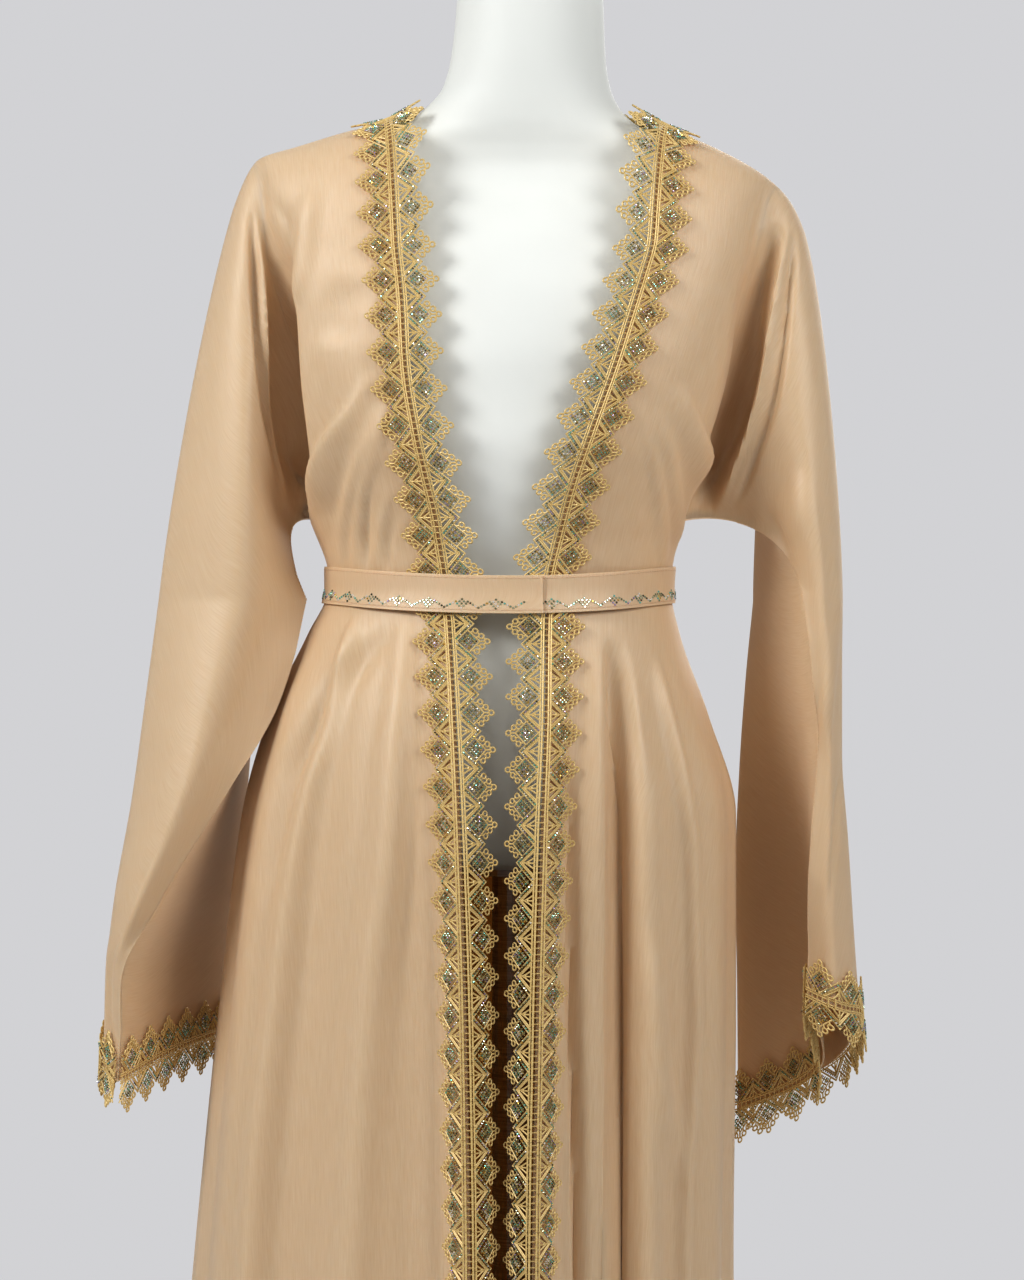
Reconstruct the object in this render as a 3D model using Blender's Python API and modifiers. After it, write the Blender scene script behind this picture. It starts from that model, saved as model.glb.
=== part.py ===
"""Open-front abaya with lace edging, lace cuffs and a wrapped belt, standing on an armless dress form.

Sizes are in millimetres in the tables and in metres in the model. +X is the wearer's left,
-Y is the front and +Z is up. The origin is on the floor, under the pole of the stand.
"""

import math
from functools import partial

import bmesh
import bpy
import numpy as np

MM = 0.001

# Driving dimensions
CLOTH = 2.0 * MM
LACE = 1.5 * MM
SEAM_GAP = 0.3 * MM
SIDE_GAP = 0.6 * MM
SHOULDER_GAP = 1.5 * MM
SLEEVE_GAP = 0.8 * MM
LACE_GAP = 1.3 * MM
CUFF_LACE_GAP = {-1: 0.6 * MM, 1: 1.8 * MM}
HEM_HEIGHT = 0.030
ARMPIT_HEIGHT = 1.135
YOKE_HEIGHT = 1.345
TOP_HEIGHT = 1.450

BELT_WIDTH = 29.0 * MM
BELT_SIDE_HEIGHT = 1.084
BELT_FRONT_DROP = 9.0 * MM
BELT_WALL = 1.8 * MM
BELT_EASE = 3.0 * MM
BELT_OVER_LACE = 2.8 * MM
BELT_LAYER = 2.3 * MM
BELT_START = -13.0
BELT_END = 370.0

LACE_PITCH = 28.5 * MM
LACE_TIP = 31.5 * MM
LACE_VALLEY = 18.5 * MM

BASE_RADIUS = 0.190
BASE_THICKNESS = 0.010
POLE_RADIUS = 0.016
POLE_FLANGE_RADIUS = 0.045
POLE_FLANGE_THICKNESS = 0.008

# Mesh density
ARMHOLE_ROWS = 10
SLEEVE_CAP_ROWS = 7
SLEEVE_LOWER_ROWS = 9
FRONT_COLUMNS = 13
BACK_COLUMNS = 21


def table(columns, *rows):
    """Named columns of a short table, each as an array."""
    return dict(zip(columns.split(), np.array(rows, float).T))


# Level sections of the body. The half widths run from the middle line to each side, the
# depths from the side seam to the front and back, and the edges are where the fronts end.
BODY = table(
    "height right left front back box edge_right edge_left armhole",
    (30, 292, 214, 226, 240, 1.00, 32, 15, 0),
    (280, 274, 196, 202, 212, 1.00, 31, 15, 0),
    (528, 254, 176, 174, 182, 1.00, 31, 15, 0),
    (750, 233, 179, 154, 158, 1.00, 34, 18, 0),
    (900, 216, 179, 143, 147, 1.00, 39, 22, 0),
    (980, 194, 157, 133, 137, 0.98, 43, 25, 0),
    (1045, 163, 134, 116, 117, 0.95, 47, 26, 0),
    (1081, 147, 127, 106, 105, 0.92, 50, 27, 0),
    (1115, 148, 131, 108, 106, 0.90, 55, 34, 0),
    (1135, 153, 137, 113, 108, 0.88, 58, 39, 0),
    (1160, 160, 144, 118, 110, 0.86, 64, 46, 10),
    (1200, 168, 155, 124, 112, 0.84, 73, 60, 21),
    (1250, 175, 166, 122, 112, 0.82, 81, 78, 27),
    (1300, 183, 177, 112, 112, 0.82, 84, 94, 29),
    (1345, 191, 188, 98, 108, 0.84, 89, 108, 28),
)

# The line over each shoulder, from the neck outwards: distance from the middle and height.
SHOULDER = {
    -1: table(
        "across height",
        (60, 1475), (86, 1460), (99, 1453), (130, 1446), (174, 1433), (196, 1427), (205, 1423),
    ),
    1: table(
        "across height",
        (83, 1471), (109, 1456), (122, 1449), (150, 1438), (185, 1421), (204, 1409), (212, 1402),
    ),
}
SHOULDER_TIP = {-1: 205 * MM, 1: 212 * MM}
NECK_EDGE = {-1: 99 * MM, 1: 122 * MM}
NECK_BACK_DEPTH = 90 * MM
NECK_BACK_HEIGHT = 1.452
NECK_CENTRE = 0.012
LACE_LEAN_SIDE = 30.0
LACE_LEAN_BACK = 56.0

# The free edge of each front stands forward as a soft ridge under its lace.
EDGE_RIDGE = table(
    "height rise",
    (30, 28), (280, 28), (528, 27), (750, 21), (900, 12), (980, 6), (1040, 1.5), (1062, 0),
)
EDGE_RIDGE_REACH = 26 * MM

# Rows of the body, and columns of a sleeve: from a place to a place, in so many steps.
BODY_ROWS = ((30, 840, 9), (840, 1045, 5), (1045, 1117, 5), (1117, 1135, 1))
SLEEVE_COLUMNS = ((0, 0.5, 8), (0.5, 0.68, 3), (0.68, 1, 10))

# Folds of the skirt. Angles run from the front middle round by the wearer's left, and a
# depth below zero is a valley.
SKIRT_FOLDS = table(
    "waist_angle hem_angle half_width hip_depth knee_depth hem_depth",
    (23, 22, 6.5, -7, -11, -13),
    (36, 35, 10, 5, 6, 9),
    (45, 46, 9, -3, -6, -10),
    (60, 58, 11, 4, 7, 12),
    (76, 74, 9, -3, -7, -11),
    (103, 102, 13, 3, 7, 12),
    (122, 123, 11, -5, -9, -14),
    (142, 143, 12, 4, 8, 14),
    (161, 162, 11, -5, -9, -15),
    (181, 180, 11, 4, 8, 13),
    (200, 199, 11, -5, -10, -15),
    (219, 220, 12, 4, 8, 14),
    (240, 241, 12, -5, -9, -14),
    (261, 262, 11, 3, 6, 10),
    (282, 284, 10, -4, -7, -9),
    (299, 301, 11, 5, 8, 12),
    (315, 316, 10, -6, -7, -9),
    (330, 331, 10, 5, 7, 11),
    (343, 344, 7, -4, -6, -8),
)
FOLD_HEIGHTS = (HEM_HEIGHT, 0.50, 0.88, 1.040)

# Level sections of each sleeve below the elbow. A section runs from the fold at its front
# edge over the front and round the outside, the back and the inner edge, and returns to the
# fold through the recess.
SLEEVE_SECTION = (
    "height fold_x fold_y front_x front_y outer_x outer_y back_x back_y "
    "inner_x inner_y recess_x recess_y"
)
SLEEVE = {
    -1: table(
        SLEEVE_SECTION,
        (1072, -168, -20, -215, -70, -281, -15, -250, 45, -208, 55, -186, 30),
        (992, -189, -40, -237, -80, -291, -20, -262, 50, -213, 60, -202, 18),
        (920, -226, -56, -258, -86, -300, -25, -275, 56, -217, 68, -222, 4),
        (840, -272, -60, -292, -78, -312, -30, -286, 62, -226, 76, -250, 8),
        (778, -303, -58, -312, -48, -318, -22, -292, 62, -236, 82, -270, 12),
        (706, -309, -56, -316, -44, -321, -18, -294, 62, -241, 84, -275, 14),
    ),
    1: table(
        SLEEVE_SECTION,
        (1072, 226, -48, 245, -60, 262, -8, 238, 58, 197, 56, 207, 6),
        (1008, 232, -50, 248, -58, 261, -10, 240, 62, 191, 58, 214, 10),
        (944, 238, -46, 250, -54, 261, -10, 242, 66, 187, 64, 224, 18),
        (870, 236, -46, 252, -54, 266, -10, 246, 70, 185, 74, 234, 20),
        (790, 234, -43, 254, -53, 271, -8, 252, 72, 187, 78, 242, 22),
        (705, 232, -41, 256, -51, 277, -5, 259, 72, 188, 78, 249, 24),
    ),
}
SLEEVE_KNOTS = (0.0, 0.25, 0.5, 0.68, 0.83, 0.92, 1.0)
SLEEVE_POINTS = ("fold", "front", "outer", "back", "inner", "recess", "fold")
CUFF_RISE = {
    -1: (-12, -5, 0, 5, 10, 2, -12),
    1: (56, 45, 29, -15, -52, -10, 56),
}
ELBOW = 0.42
SLEEVE_CAP = {
    -1: {"pit_out": 0.042, "tip_out": 0.018, "push": 0.034, "lean": -0.014},
    1: {"pit_out": 0.052, "tip_out": 0.034, "push": 0.026, "lean": 0.002},
}

# The armless form inside: half widths to each side and depths to front and back.
FORM = table(
    "height right left front back",
    (862, 128, 124, 84, 92),
    (866, 146, 141, 96, 104),
    (880, 156, 150, 103, 111),
    (920, 160, 151, 107, 114),
    (980, 150, 138, 103, 108),
    (1045, 128, 120, 94, 96),
    (1081, 121, 114, 89, 90),
    (1115, 124, 118, 92, 91),
    (1160, 136, 128, 102, 95),
    (1200, 146, 138, 109, 99),
    (1250, 154, 148, 109, 102),
    (1300, 160, 158, 100, 102),
    (1345, 166, 167, 84, 96),
    (1380, 174, 176, 66, 84),
    (1400, 182, 183, 54, 76),
    (1416, 182, 168, 50, 71),
    (1428, 158, 146, 51, 67.4),
    (1438, 131, 126, 53, 64.4),
    (1449, 90, 103, 55, 62),
    (1462, 72, 88, 56, 62),
    (1480, 56, 79, 56.5, 62),
    (1504, 49, 75, 57, 61),
    (1552, 44, 73, 58, 59),
    (1578, 43, 72, 58, 58),
)
FORM_COLUMNS = 24
FORM_BOTTOM = FORM["height"][0] * MM

COLOURS = {
    "crepe": (0.74, 0.54, 0.36, 1.0),
    "lace": (0.62, 0.44, 0.18, 1.0),
    "form": (0.85, 0.86, 0.84, 1.0),
    "steel": (0.62, 0.62, 0.63, 1.0),
}


def smooth(x, xs, ys, rounded=False):
    """Cubic through a table's values. It keeps between them, or is rounder if asked."""
    xs, ys = np.asarray(xs, float), np.asarray(ys, float)
    step = np.diff(xs)
    slope = np.diff(ys) / step
    before, after = slope[:-1], slope[1:]
    if rounded:
        inner = (before * step[1:] + after * step[:-1]) / (step[1:] + step[:-1])
    else:
        same_way = before * after > 0
        total = np.where(same_way, before + after, 1.0)
        inner = np.where(same_way, 2 * before * after / total, 0.0)
    tangent = np.concatenate([slope[:1], inner, slope[-1:]])
    i = np.clip(np.searchsorted(xs, x, side="right") - 1, 0, len(step) - 1)
    t = np.clip((x - xs[i]) / step[i], 0, 1)
    return (
        ys[i] * (1 + 2 * t) * (1 - t) ** 2
        + ys[i + 1] * t * t * (3 - 2 * t)
        + tangent[i] * step[i] * t * (1 - t) ** 2
        - tangent[i + 1] * step[i] * t * t * (1 - t)
    )


def section(column, height):
    return smooth(height / MM, BODY["height"], BODY[column])


def width_column(side):
    return "right" if side < 0 else "left"


def half_width(side, height):
    """Half width of the body at a height; above the yoke it nears the tip of the shoulder."""
    level = section(width_column(side), np.minimum(height, YOKE_HEIGHT)) * MM
    share = yoke_share(height)
    return level * (1 - share) + SHOULDER_TIP[side] * share


def front_edge(side, height):
    """Distance of a front's free edge from the middle line."""
    level = section("edge_" + width_column(side), np.minimum(height, YOKE_HEIGHT)) * MM
    share = yoke_share(height)
    return level * (1 - share) + NECK_EDGE[side] * share


def yoke_share(height):
    return np.clip((height - YOKE_HEIGHT) / (TOP_HEIGHT - YOKE_HEIGHT), 0, 1)


def skirt_fold(angle, height):
    """How far the folds push the skirt out at an angle, in degrees, and a height."""
    push = np.zeros(np.broadcast(angle, height).shape)
    fall = np.clip((FOLD_HEIGHTS[-1] - height) / (FOLD_HEIGHTS[-1] - HEM_HEIGHT), 0, 1)
    for k in range(len(SKIRT_FOLDS["half_width"])):
        fold = {name: column[k] for name, column in SKIRT_FOLDS.items()}
        middle = fold["waist_angle"] + (fold["hem_angle"] - fold["waist_angle"]) * fall
        away = np.clip((angle - middle) / fold["half_width"], -1, 1)
        depths = (fold["hem_depth"], fold["knee_depth"], fold["hip_depth"], 0)
        push = push + smooth(height, FOLD_HEIGHTS, depths) * 0.5 * (1 + np.cos(math.pi * away))
    return push * MM


def rise(start, bend, end, share):
    """Point of a curve that leaves start towards bend and reaches end from it."""
    share = share[..., None]
    return start * (1 - share) ** 2 + bend * 2 * share * (1 - share) + end * share**2


def stack(*parts):
    return np.stack(np.broadcast_arrays(*parts), axis=-1)


def front(side, across, height):
    """Point of a front: across is 0 at its free edge, 1 at its side, and below 0 past the edge."""
    level = np.minimum(height, YOKE_HEIGHT)
    width = half_width(side, height)
    start = np.arcsin(front_edge(side, height) / width)
    turn = start + (math.pi / 2 - start) * across
    x = side * width * np.sin(turn)
    opening = section("armhole", level) * MM + SIDE_GAP / 2
    depth = section("front", level) * MM
    y = -opening - (depth - opening) * np.maximum(np.cos(turn), 0) ** section("box", level)
    past_edge = side * x - front_edge(side, height)
    angle = np.degrees(turn) if side > 0 else 360 - np.degrees(turn)
    push = skirt_fold(angle, level) * np.clip(past_edge / EDGE_RIDGE_REACH - 1.1, 0, 1)
    ridge = smooth(level / MM, EDGE_RIDGE["height"], EDGE_RIDGE["rise"]) * MM
    ridge = ridge * (1 + np.cos(math.pi * np.clip(past_edge / EDGE_RIDGE_REACH, -1, 1))) / 2
    x, y = x + side * push * np.sin(turn), y - push * np.cos(turn) - ridge
    top = smooth(np.abs(x) / MM, SHOULDER[side]["across"], SHOULDER[side]["height"]) * MM
    return rise(
        stack(x, y, level),
        stack(x, 0.80 * y, top),
        stack(x, -SHOULDER_GAP / 2, top),
        yoke_share(height),
    )


def across_at(side, height, lengths):
    """Where lengths of arc from a front's free edge fall across it; they are below 0 past it."""
    places = np.linspace(-0.35, 1, 271)
    line = front(side, places, np.full_like(places, height))
    arc = arc_of(line)
    from_edge = arc - np.interp(0, places, arc)
    return np.interp(lengths, from_edge, places), from_edge[-1]


def back(across, height):
    """Point of the back: across is -1 at the wearer's right side and 1 at the left side."""
    level = np.minimum(height, YOKE_HEIGHT)
    width = np.where(across < 0, half_width(-1, height), half_width(1, height))
    turn = across * math.pi / 2
    x = width * np.sin(turn)
    opening = section("armhole", level) * MM + SIDE_GAP / 2
    depth = section("back", level) * MM
    y = opening + (depth - opening) * np.maximum(np.cos(turn), 0) ** section("box", level)
    push = skirt_fold(180 - 90 * across, level)
    x, y = x + push * np.sin(turn), y + push * np.cos(turn)
    edge = np.where(x < 0, NECK_EDGE[-1], NECK_EDGE[1])
    hollow = np.sqrt(np.clip(1 - (x / edge) ** 2, 0, 1))
    line = np.where(
        x < 0,
        smooth(np.maximum(-x, NECK_EDGE[-1]) / MM, SHOULDER[-1]["across"], SHOULDER[-1]["height"]),
        smooth(np.maximum(x, NECK_EDGE[1]) / MM, SHOULDER[1]["across"], SHOULDER[1]["height"]),
    )
    top = line * MM * (1 - hollow) + NECK_BACK_HEIGHT * hollow
    return rise(
        stack(x, y, level),
        stack(x, 0.74 * y + 0.23 * y * hollow, top - 18 * MM * hollow),
        stack(x, SHOULDER_GAP / 2 + (NECK_BACK_DEPTH - SHOULDER_GAP / 2) * hollow, top),
        yoke_share(height),
    )


def armhole(side, around):
    """Point of the armhole: around is 0 at the armpit, 0.5 at the shoulder and 1 at the armpit."""
    up = 1 - np.abs(around * 2 - 1)
    height = ARMPIT_HEIGHT + (TOP_HEIGHT - ARMPIT_HEIGHT) * up
    ahead = front(side, np.ones_like(height), height)
    behind = back(np.full_like(height, side), height)
    point = np.where((around <= 0.5)[..., None], ahead, behind)
    point[..., 0] += side * SLEEVE_GAP
    return point


def sleeve_ring(side, around, down):
    """Point of a sleeve below the elbow: down is 0 at the elbow and 1 at the hem."""
    rows = SLEEVE[side]
    places = np.linspace(0, 1, len(rows["height"]))
    ring = np.zeros(np.broadcast(around, down).shape + (3,))
    for axis, name in enumerate("xy"):
        knots = [smooth(down, places, rows[f"{point}_{name}"]) for point in SLEEVE_POINTS]
        ring[..., axis] = through_knots(around, knots)
    rise_knots = [np.full(np.shape(down), float(value)) for value in CUFF_RISE[side]]
    ring[..., 2] = smooth(down, places, rows["height"]) + down**2 * through_knots(around, rise_knots)
    return ring * MM


def through_knots(around, knots):
    """Rounded curve round a section, through values that may differ from row to row."""
    result = 0
    for k in range(len(SLEEVE_KNOTS)):
        weight = smooth(around, SLEEVE_KNOTS, np.eye(len(SLEEVE_KNOTS))[k], rounded=True)
        result = result + weight * knots[k]
    return result


def sleeve(side, around, down):
    """Point of a sleeve: down is 0 at the armhole, ELBOW at the elbow and 1 at the hem."""
    cap = SLEEVE_CAP[side]
    share = np.clip(down / ELBOW, 0, 1)[..., None]
    start = armhole(side, around)
    end = sleeve_ring(side, around, np.zeros_like(down))
    reach = np.linalg.norm(end - start, axis=-1)
    high = np.sin(math.pi * around) ** 2
    out = side * (cap["pit_out"] * (1 - high) + cap["tip_out"] * high)
    push = -cap["push"] * np.sin(2 * math.pi * around)
    first = start + stack(out, push, 0.010 * (1 - high))
    last = end + stack(-cap["lean"] * high, np.zeros_like(reach), 0.35 * reach)
    upper = (
        start * (1 - share) ** 3
        + first * 3 * share * (1 - share) ** 2
        + last * 3 * share**2 * (1 - share)
        + end * share**3
    )
    lower = sleeve_ring(side, around, np.clip((down - ELBOW) / (1 - ELBOW), 0, 1))
    return np.where((down <= ELBOW)[..., None], upper, lower)


def unit(vectors):
    return vectors / np.maximum(np.linalg.norm(vectors, axis=-1, keepdims=True), 1e-12)


def raised(surface, a, b, lift, outward):
    """Points of a surface, moved out along its normal. outward is 1 or -1, as its sides run."""
    step = 1e-4
    along_a = surface(a + step, b) - surface(a - step, b)
    along_b = surface(a, b + step) - surface(a, b - step)
    return surface(a, b) + outward * lift * unit(np.cross(along_a, along_b))


def arc_of(points):
    """Length of arc to each point of a row."""
    return np.concatenate([[0], np.cumsum(np.linalg.norm(np.diff(points, axis=0), axis=1))])


def material(name):
    found = bpy.data.materials.get(name)
    if found:
        return found
    made = bpy.data.materials.new(name)
    made.use_nodes = True
    shader = made.node_tree.nodes["Principled BSDF"]
    shader.inputs["Base Color"].default_value = COLOURS[name]
    shader.inputs["Roughness"].default_value = 0.35 if name in ("form", "steel") else 0.65
    shader.inputs["Metallic"].default_value = 1.0 if name == "steel" else 0.0
    return made


def link(name, mesh, finish):
    mesh.name = name
    made = bpy.data.objects.new(name, mesh)
    made.data.materials.append(material(finish))
    bpy.data.collections["Abaya"].objects.link(made)
    return made


def grid_mesh(points, turned=False):
    """A grid whose points are placed; edges that meet are merged, so a ring becomes a tube."""
    rows, columns = points.shape[0] - 1, points.shape[1] - 1
    shape = bmesh.new()
    bmesh.ops.create_grid(shape, x_segments=columns, y_segments=rows, size=0.5)
    for vertex in shape.verts:
        column = round((vertex.co.x + 0.5) * columns)
        row = round((vertex.co.y + 0.5) * rows)
        vertex.co = points[row, column]
    bmesh.ops.remove_doubles(shape, verts=shape.verts, dist=1e-6)
    if turned:
        bmesh.ops.reverse_faces(shape, faces=shape.faces)
    mesh = bpy.data.meshes.new("grid")
    shape.to_mesh(mesh)
    shape.free()
    mesh.shade_smooth()
    return mesh


def cloth(name, points, finish="crepe", wall=CLOTH, turned=False):
    """A cloth piece: an open surface given its wall inwards, so its face keeps its place."""
    made = link(name, grid_mesh(points, turned), finish)
    solid = made.modifiers.new("Wall", "SOLIDIFY")
    solid.thickness = wall
    solid.offset = -1
    solid.use_quality_normals = True
    return made


def stepped(stretches):
    """Places along stretches that follow on, each in its own number of steps."""
    places = [np.linspace(low, high, steps + 1)[:-1] for low, high, steps in stretches]
    return np.concatenate(places + [[stretches[-1][1]]])


def body_heights():
    """Heights of the rows: closer together at the waist, even from the armpit up."""
    upper = np.linspace(ARMPIT_HEIGHT, TOP_HEIGHT, ARMHOLE_ROWS + 1)
    return np.concatenate([stepped(BODY_ROWS) * MM, upper[1:]])


def make_fronts():
    """The first columns of each front keep to the trim, so that it lies on flat facets."""
    for side, name in ((-1, "front_right"), (1, "front_left")):
        points = []
        for height in body_heights():
            _, whole = across_at(side, height, 0)
            under_lace = [0, LACE_TIP / 2]
            rest = np.linspace(LACE_TIP, whole, FRONT_COLUMNS - 1)
            across, _ = across_at(side, height, np.concatenate([under_lace, rest]))
            points.append(front(side, across, np.full_like(across, height)))
        cloth(name, np.array(points), turned=side < 0)


def make_back():
    """Columns end where the neckline meets each shoulder, so its corners are kept."""
    corners = neck_corners()
    columns = np.concatenate(
        [
            np.linspace(-1, corners[0], BACK_COLUMNS // 3 + 1),
            np.linspace(corners[0], corners[1], BACK_COLUMNS // 3 + 1)[1:],
            np.linspace(corners[1], 1, BACK_COLUMNS // 3 + 1)[1:],
        ]
    )
    across, height = np.meshgrid(columns, body_heights())
    cloth("back", back(across, height), turned=True)


def neck_corners():
    """Where the back's neckline meets its shoulder seams, as places across the back."""
    right = -math.asin(NECK_EDGE[-1] / SHOULDER_TIP[-1]) * 2 / math.pi
    left = math.asin(NECK_EDGE[1] / SHOULDER_TIP[1]) * 2 / math.pi
    return right, left


def sleeve_rows():
    cap = np.linspace(0, ELBOW, SLEEVE_CAP_ROWS + 1)
    return np.concatenate([cap, np.linspace(ELBOW, 1, SLEEVE_LOWER_ROWS + 1)[1:]])


def make_sleeves():
    for side, name in ((-1, "sleeve_right"), (1, "sleeve_left")):
        around, down = np.meshgrid(stepped(SLEEVE_COLUMNS), sleeve_rows())
        cloth(name, sleeve(side, around, down), turned=side > 0)


def lace_rows(length, rows_each):
    """Places along a trim, so many to each scallop, and half its width at each."""
    scallops = max(2, round(length / LACE_PITCH))
    share = np.linspace(0, 1, scallops * rows_each + 1)
    to_tip = 1 - np.abs(share * scallops % 1 - 0.5) * 2
    return share, LACE_VALLEY + (LACE_TIP - LACE_VALLEY) * to_tip


def trim_places(fine, edge, rows_each=2):
    """Places of a trim's rows along an edge that fine and its points give, and their widths."""
    arc = arc_of(edge)
    share, width = lace_rows(arc[-1], rows_each)
    return np.interp(share * arc[-1], arc, fine), width


def free_half(on_edge, on_cloth, direction, half):
    """A trim's row: from its tip on the cloth, over the edge, to its tip in the air."""
    return np.array([*on_cloth, on_edge, on_edge + direction * half])


def make_front_lace():
    """Each front's trim is centred on its free edge, half on the cloth and half past it."""
    for side, name in ((-1, "lace_front_right"), (1, "lace_front_left")):
        fine = np.linspace(HEM_HEIGHT, TOP_HEIGHT, 400)
        heights, width = trim_places(fine, front(side, np.zeros_like(fine), fine))
        points = []
        for height, half in zip(heights, width):
            across, _ = across_at(side, height, [-half, 0, LACE_TIP / 2, half])
            points.append(
                raised(partial(front, side), across, np.full_like(across, height),
                       LACE_GAP + LACE, side)
            )
        cloth(name, np.array(points), "lace", LACE, turned=side < 0)


def make_neck_lace():
    """The trim round the back of the neck, from one shoulder to the other."""
    limit = neck_corners()
    fine = np.linspace(*limit, 300)
    places, width = trim_places(fine, back(fine, np.full_like(fine, TOP_HEIGHT)))
    points = []
    for place, half in zip(places, width):
        fall = np.linspace(TOP_HEIGHT, YOKE_HEIGHT, 60)
        column = back(np.full_like(fall, place), fall)
        down = np.interp([half, LACE_TIP / 2, 0], arc_of(column), fall)
        skin = raised(back, np.full_like(down, place), down, LACE_GAP + LACE, -1)
        inward = np.array([NECK_CENTRE - skin[-1][0], -skin[-1][1], 0])
        behind = skin[-1][1] / NECK_BACK_DEPTH
        lean = math.radians(LACE_LEAN_SIDE + (LACE_LEAN_BACK - LACE_LEAN_SIDE) * behind)
        direction = unit(inward) * math.cos(lean) + np.array([0, 0, math.sin(lean)])
        points.append(free_half(skin[-1], skin[:-1], direction, half))
    cloth("lace_neck", np.array(points), "lace", LACE)


def make_cuff_lace():
    """Each cuff's trim is centred on the hem, and its lower half hangs free."""
    for side, name in ((-1, "lace_cuff_right"), (1, "lace_cuff_left")):
        fine = np.linspace(0, 1, 400)
        places, width = trim_places(fine, sleeve(side, fine, np.ones_like(fine)), rows_each=4)
        points = []
        for place, half in zip(places, width):
            climb = np.linspace(1 - 2e-4, 0.85, 60)
            column = sleeve(side, np.full_like(climb, place), climb)
            up = np.interp([half, LACE_TIP / 2, 0], arc_of(column), climb)
            skin = cuff_skin(side, place, up)
            points.append(free_half(skin[-1], skin[:-1], unit(skin[-1] - skin[-2]), half))
        cloth(name, np.array(points), "lace", LACE, turned=side > 0)


def cuff_skin(side, place, up):
    """Points of a cuff's trim on the sleeve; at the sleeve's fold they lie on its bisector."""
    lift = CUFF_LACE_GAP[side] + LACE
    surface = partial(sleeve, side)
    inside = np.clip([place, 1 - place], 1e-3, 1 - 1e-3)
    skin = raised(surface, np.full_like(up, inside[0]), up, lift, -side)
    if 1e-3 < place < 1 - 1e-3:
        return skin
    other = raised(surface, np.full_like(up, inside[1]), up, lift, -side)
    fold = surface(np.zeros_like(up), up)
    return fold + unit(skin + other - 2 * fold) * lift


def make_belt():
    """One flat strip round the waist whose outer end laps over its inner end in front."""
    degrees = np.linspace(BELT_START, BELT_END, 65)
    turn = np.radians(degrees)
    in_front = np.clip((np.cos(turn) - 0.55) / 0.25, 0, 1)
    lapped = np.clip((degrees - 325) / 15, 0, 1)
    ease = BELT_EASE + BELT_OVER_LACE * in_front + BELT_LAYER * lapped
    middle = BELT_SIDE_HEIGHT - BELT_FRONT_DROP * np.maximum(np.cos(turn), 0) ** 2
    points = [waist_point(turn, middle + share * BELT_WIDTH, ease) for share in (-0.5, 0, 0.5)]
    cloth("belt", np.array(points), wall=BELT_WALL)


def waist_point(turn, height, ease):
    """Point outside the waist at a turn from the front middle, with ease beyond the cloth."""
    side = np.sin(turn)
    width = np.where(side < 0, section("right", height), section("left", height)) * MM
    depth = np.where(np.cos(turn) > 0, section("front", height), section("back", height)) * MM
    box = section("box", height)
    x = (width + ease) * side
    y = -(depth + ease) * np.sign(np.cos(turn)) * np.abs(np.cos(turn)) ** box
    return stack(x, y, height)


def make_form():
    """The form is a loft of level sections with a flat neck and a flat underside."""
    turn = np.linspace(0, 2 * math.pi, FORM_COLUMNS + 1)
    rings = []
    for k, height in enumerate(FORM["height"]):
        width = np.where(np.sin(turn) < 0, FORM["right"][k], FORM["left"][k])
        depth = np.where(np.cos(turn) > 0, FORM["front"][k], FORM["back"][k])
        rings.append(stack(width * np.sin(turn), -depth * np.cos(turn), height) * MM)
    mesh = grid_mesh(np.array(rings))
    shape = bmesh.new()
    shape.from_mesh(mesh)
    bmesh.ops.holes_fill(shape, edges=[edge for edge in shape.edges if edge.is_boundary])
    bmesh.ops.recalc_face_normals(shape, faces=shape.faces)
    shape.to_mesh(mesh)
    shape.free()
    link("form", mesh, "form")


def make_turned(name, profile, segments, finish):
    """A turned piece: its profile runs down its outer side, from the axis to the axis."""
    mesh = bpy.data.meshes.new(name)
    mesh.from_pydata([(radius, 0, height) for radius, height in profile],
                     [(i, i + 1) for i in range(len(profile) - 1)], [])
    made = link(name, mesh, finish)
    screw = made.modifiers.new("Turn", "SCREW")
    screw.steps = screw.render_steps = segments
    screw.use_merge_vertices = True
    screw.merge_threshold = 0.00005
    return made


def make_stand():
    pole_top = FORM_BOTTOM - SEAM_GAP
    pole_bottom = BASE_THICKNESS + SEAM_GAP
    make_turned(
        "stand_pole",
        [
            (0, pole_top),
            (POLE_FLANGE_RADIUS, pole_top),
            (POLE_FLANGE_RADIUS, pole_top - POLE_FLANGE_THICKNESS),
            (POLE_RADIUS, pole_top - POLE_FLANGE_THICKNESS),
            (POLE_RADIUS, pole_bottom),
            (0, pole_bottom),
        ],
        24,
        "steel",
    )
    make_turned(
        "stand_base",
        [
            (0, BASE_THICKNESS),
            (BASE_RADIUS - 3 * MM, BASE_THICKNESS),
            (BASE_RADIUS, BASE_THICKNESS - 3 * MM),
            (BASE_RADIUS, 0),
            (0, 0),
        ],
        48,
        "steel",
    )


def main():
    for old in list(bpy.data.objects):
        bpy.data.objects.remove(old)
    collection = bpy.data.collections.new("Abaya")
    bpy.context.scene.collection.children.link(collection)
    make_fronts()
    make_back()
    make_sleeves()
    make_front_lace()
    make_neck_lace()
    make_cuff_lace()
    make_belt()
    make_form()
    make_stand()


main()
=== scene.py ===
# %% [markdown]
# # An open-front abaya with lace edging
# The garment is one long coat of satin-back crepe: two fronts, a back and two wide sleeves,
# sewn together and trimmed with gold guipure lace set with small crystals. It hangs on a
# smooth limbless dress form on a steel stand.
#
# Cloth could be draped by simulation, but then the folds fall where they like. Here every
# panel is a grid whose points are placed by a formula, so that each fold lands where the real
# one is, and the panels meet along their seams.

# %% Load the measured model
import math

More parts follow.
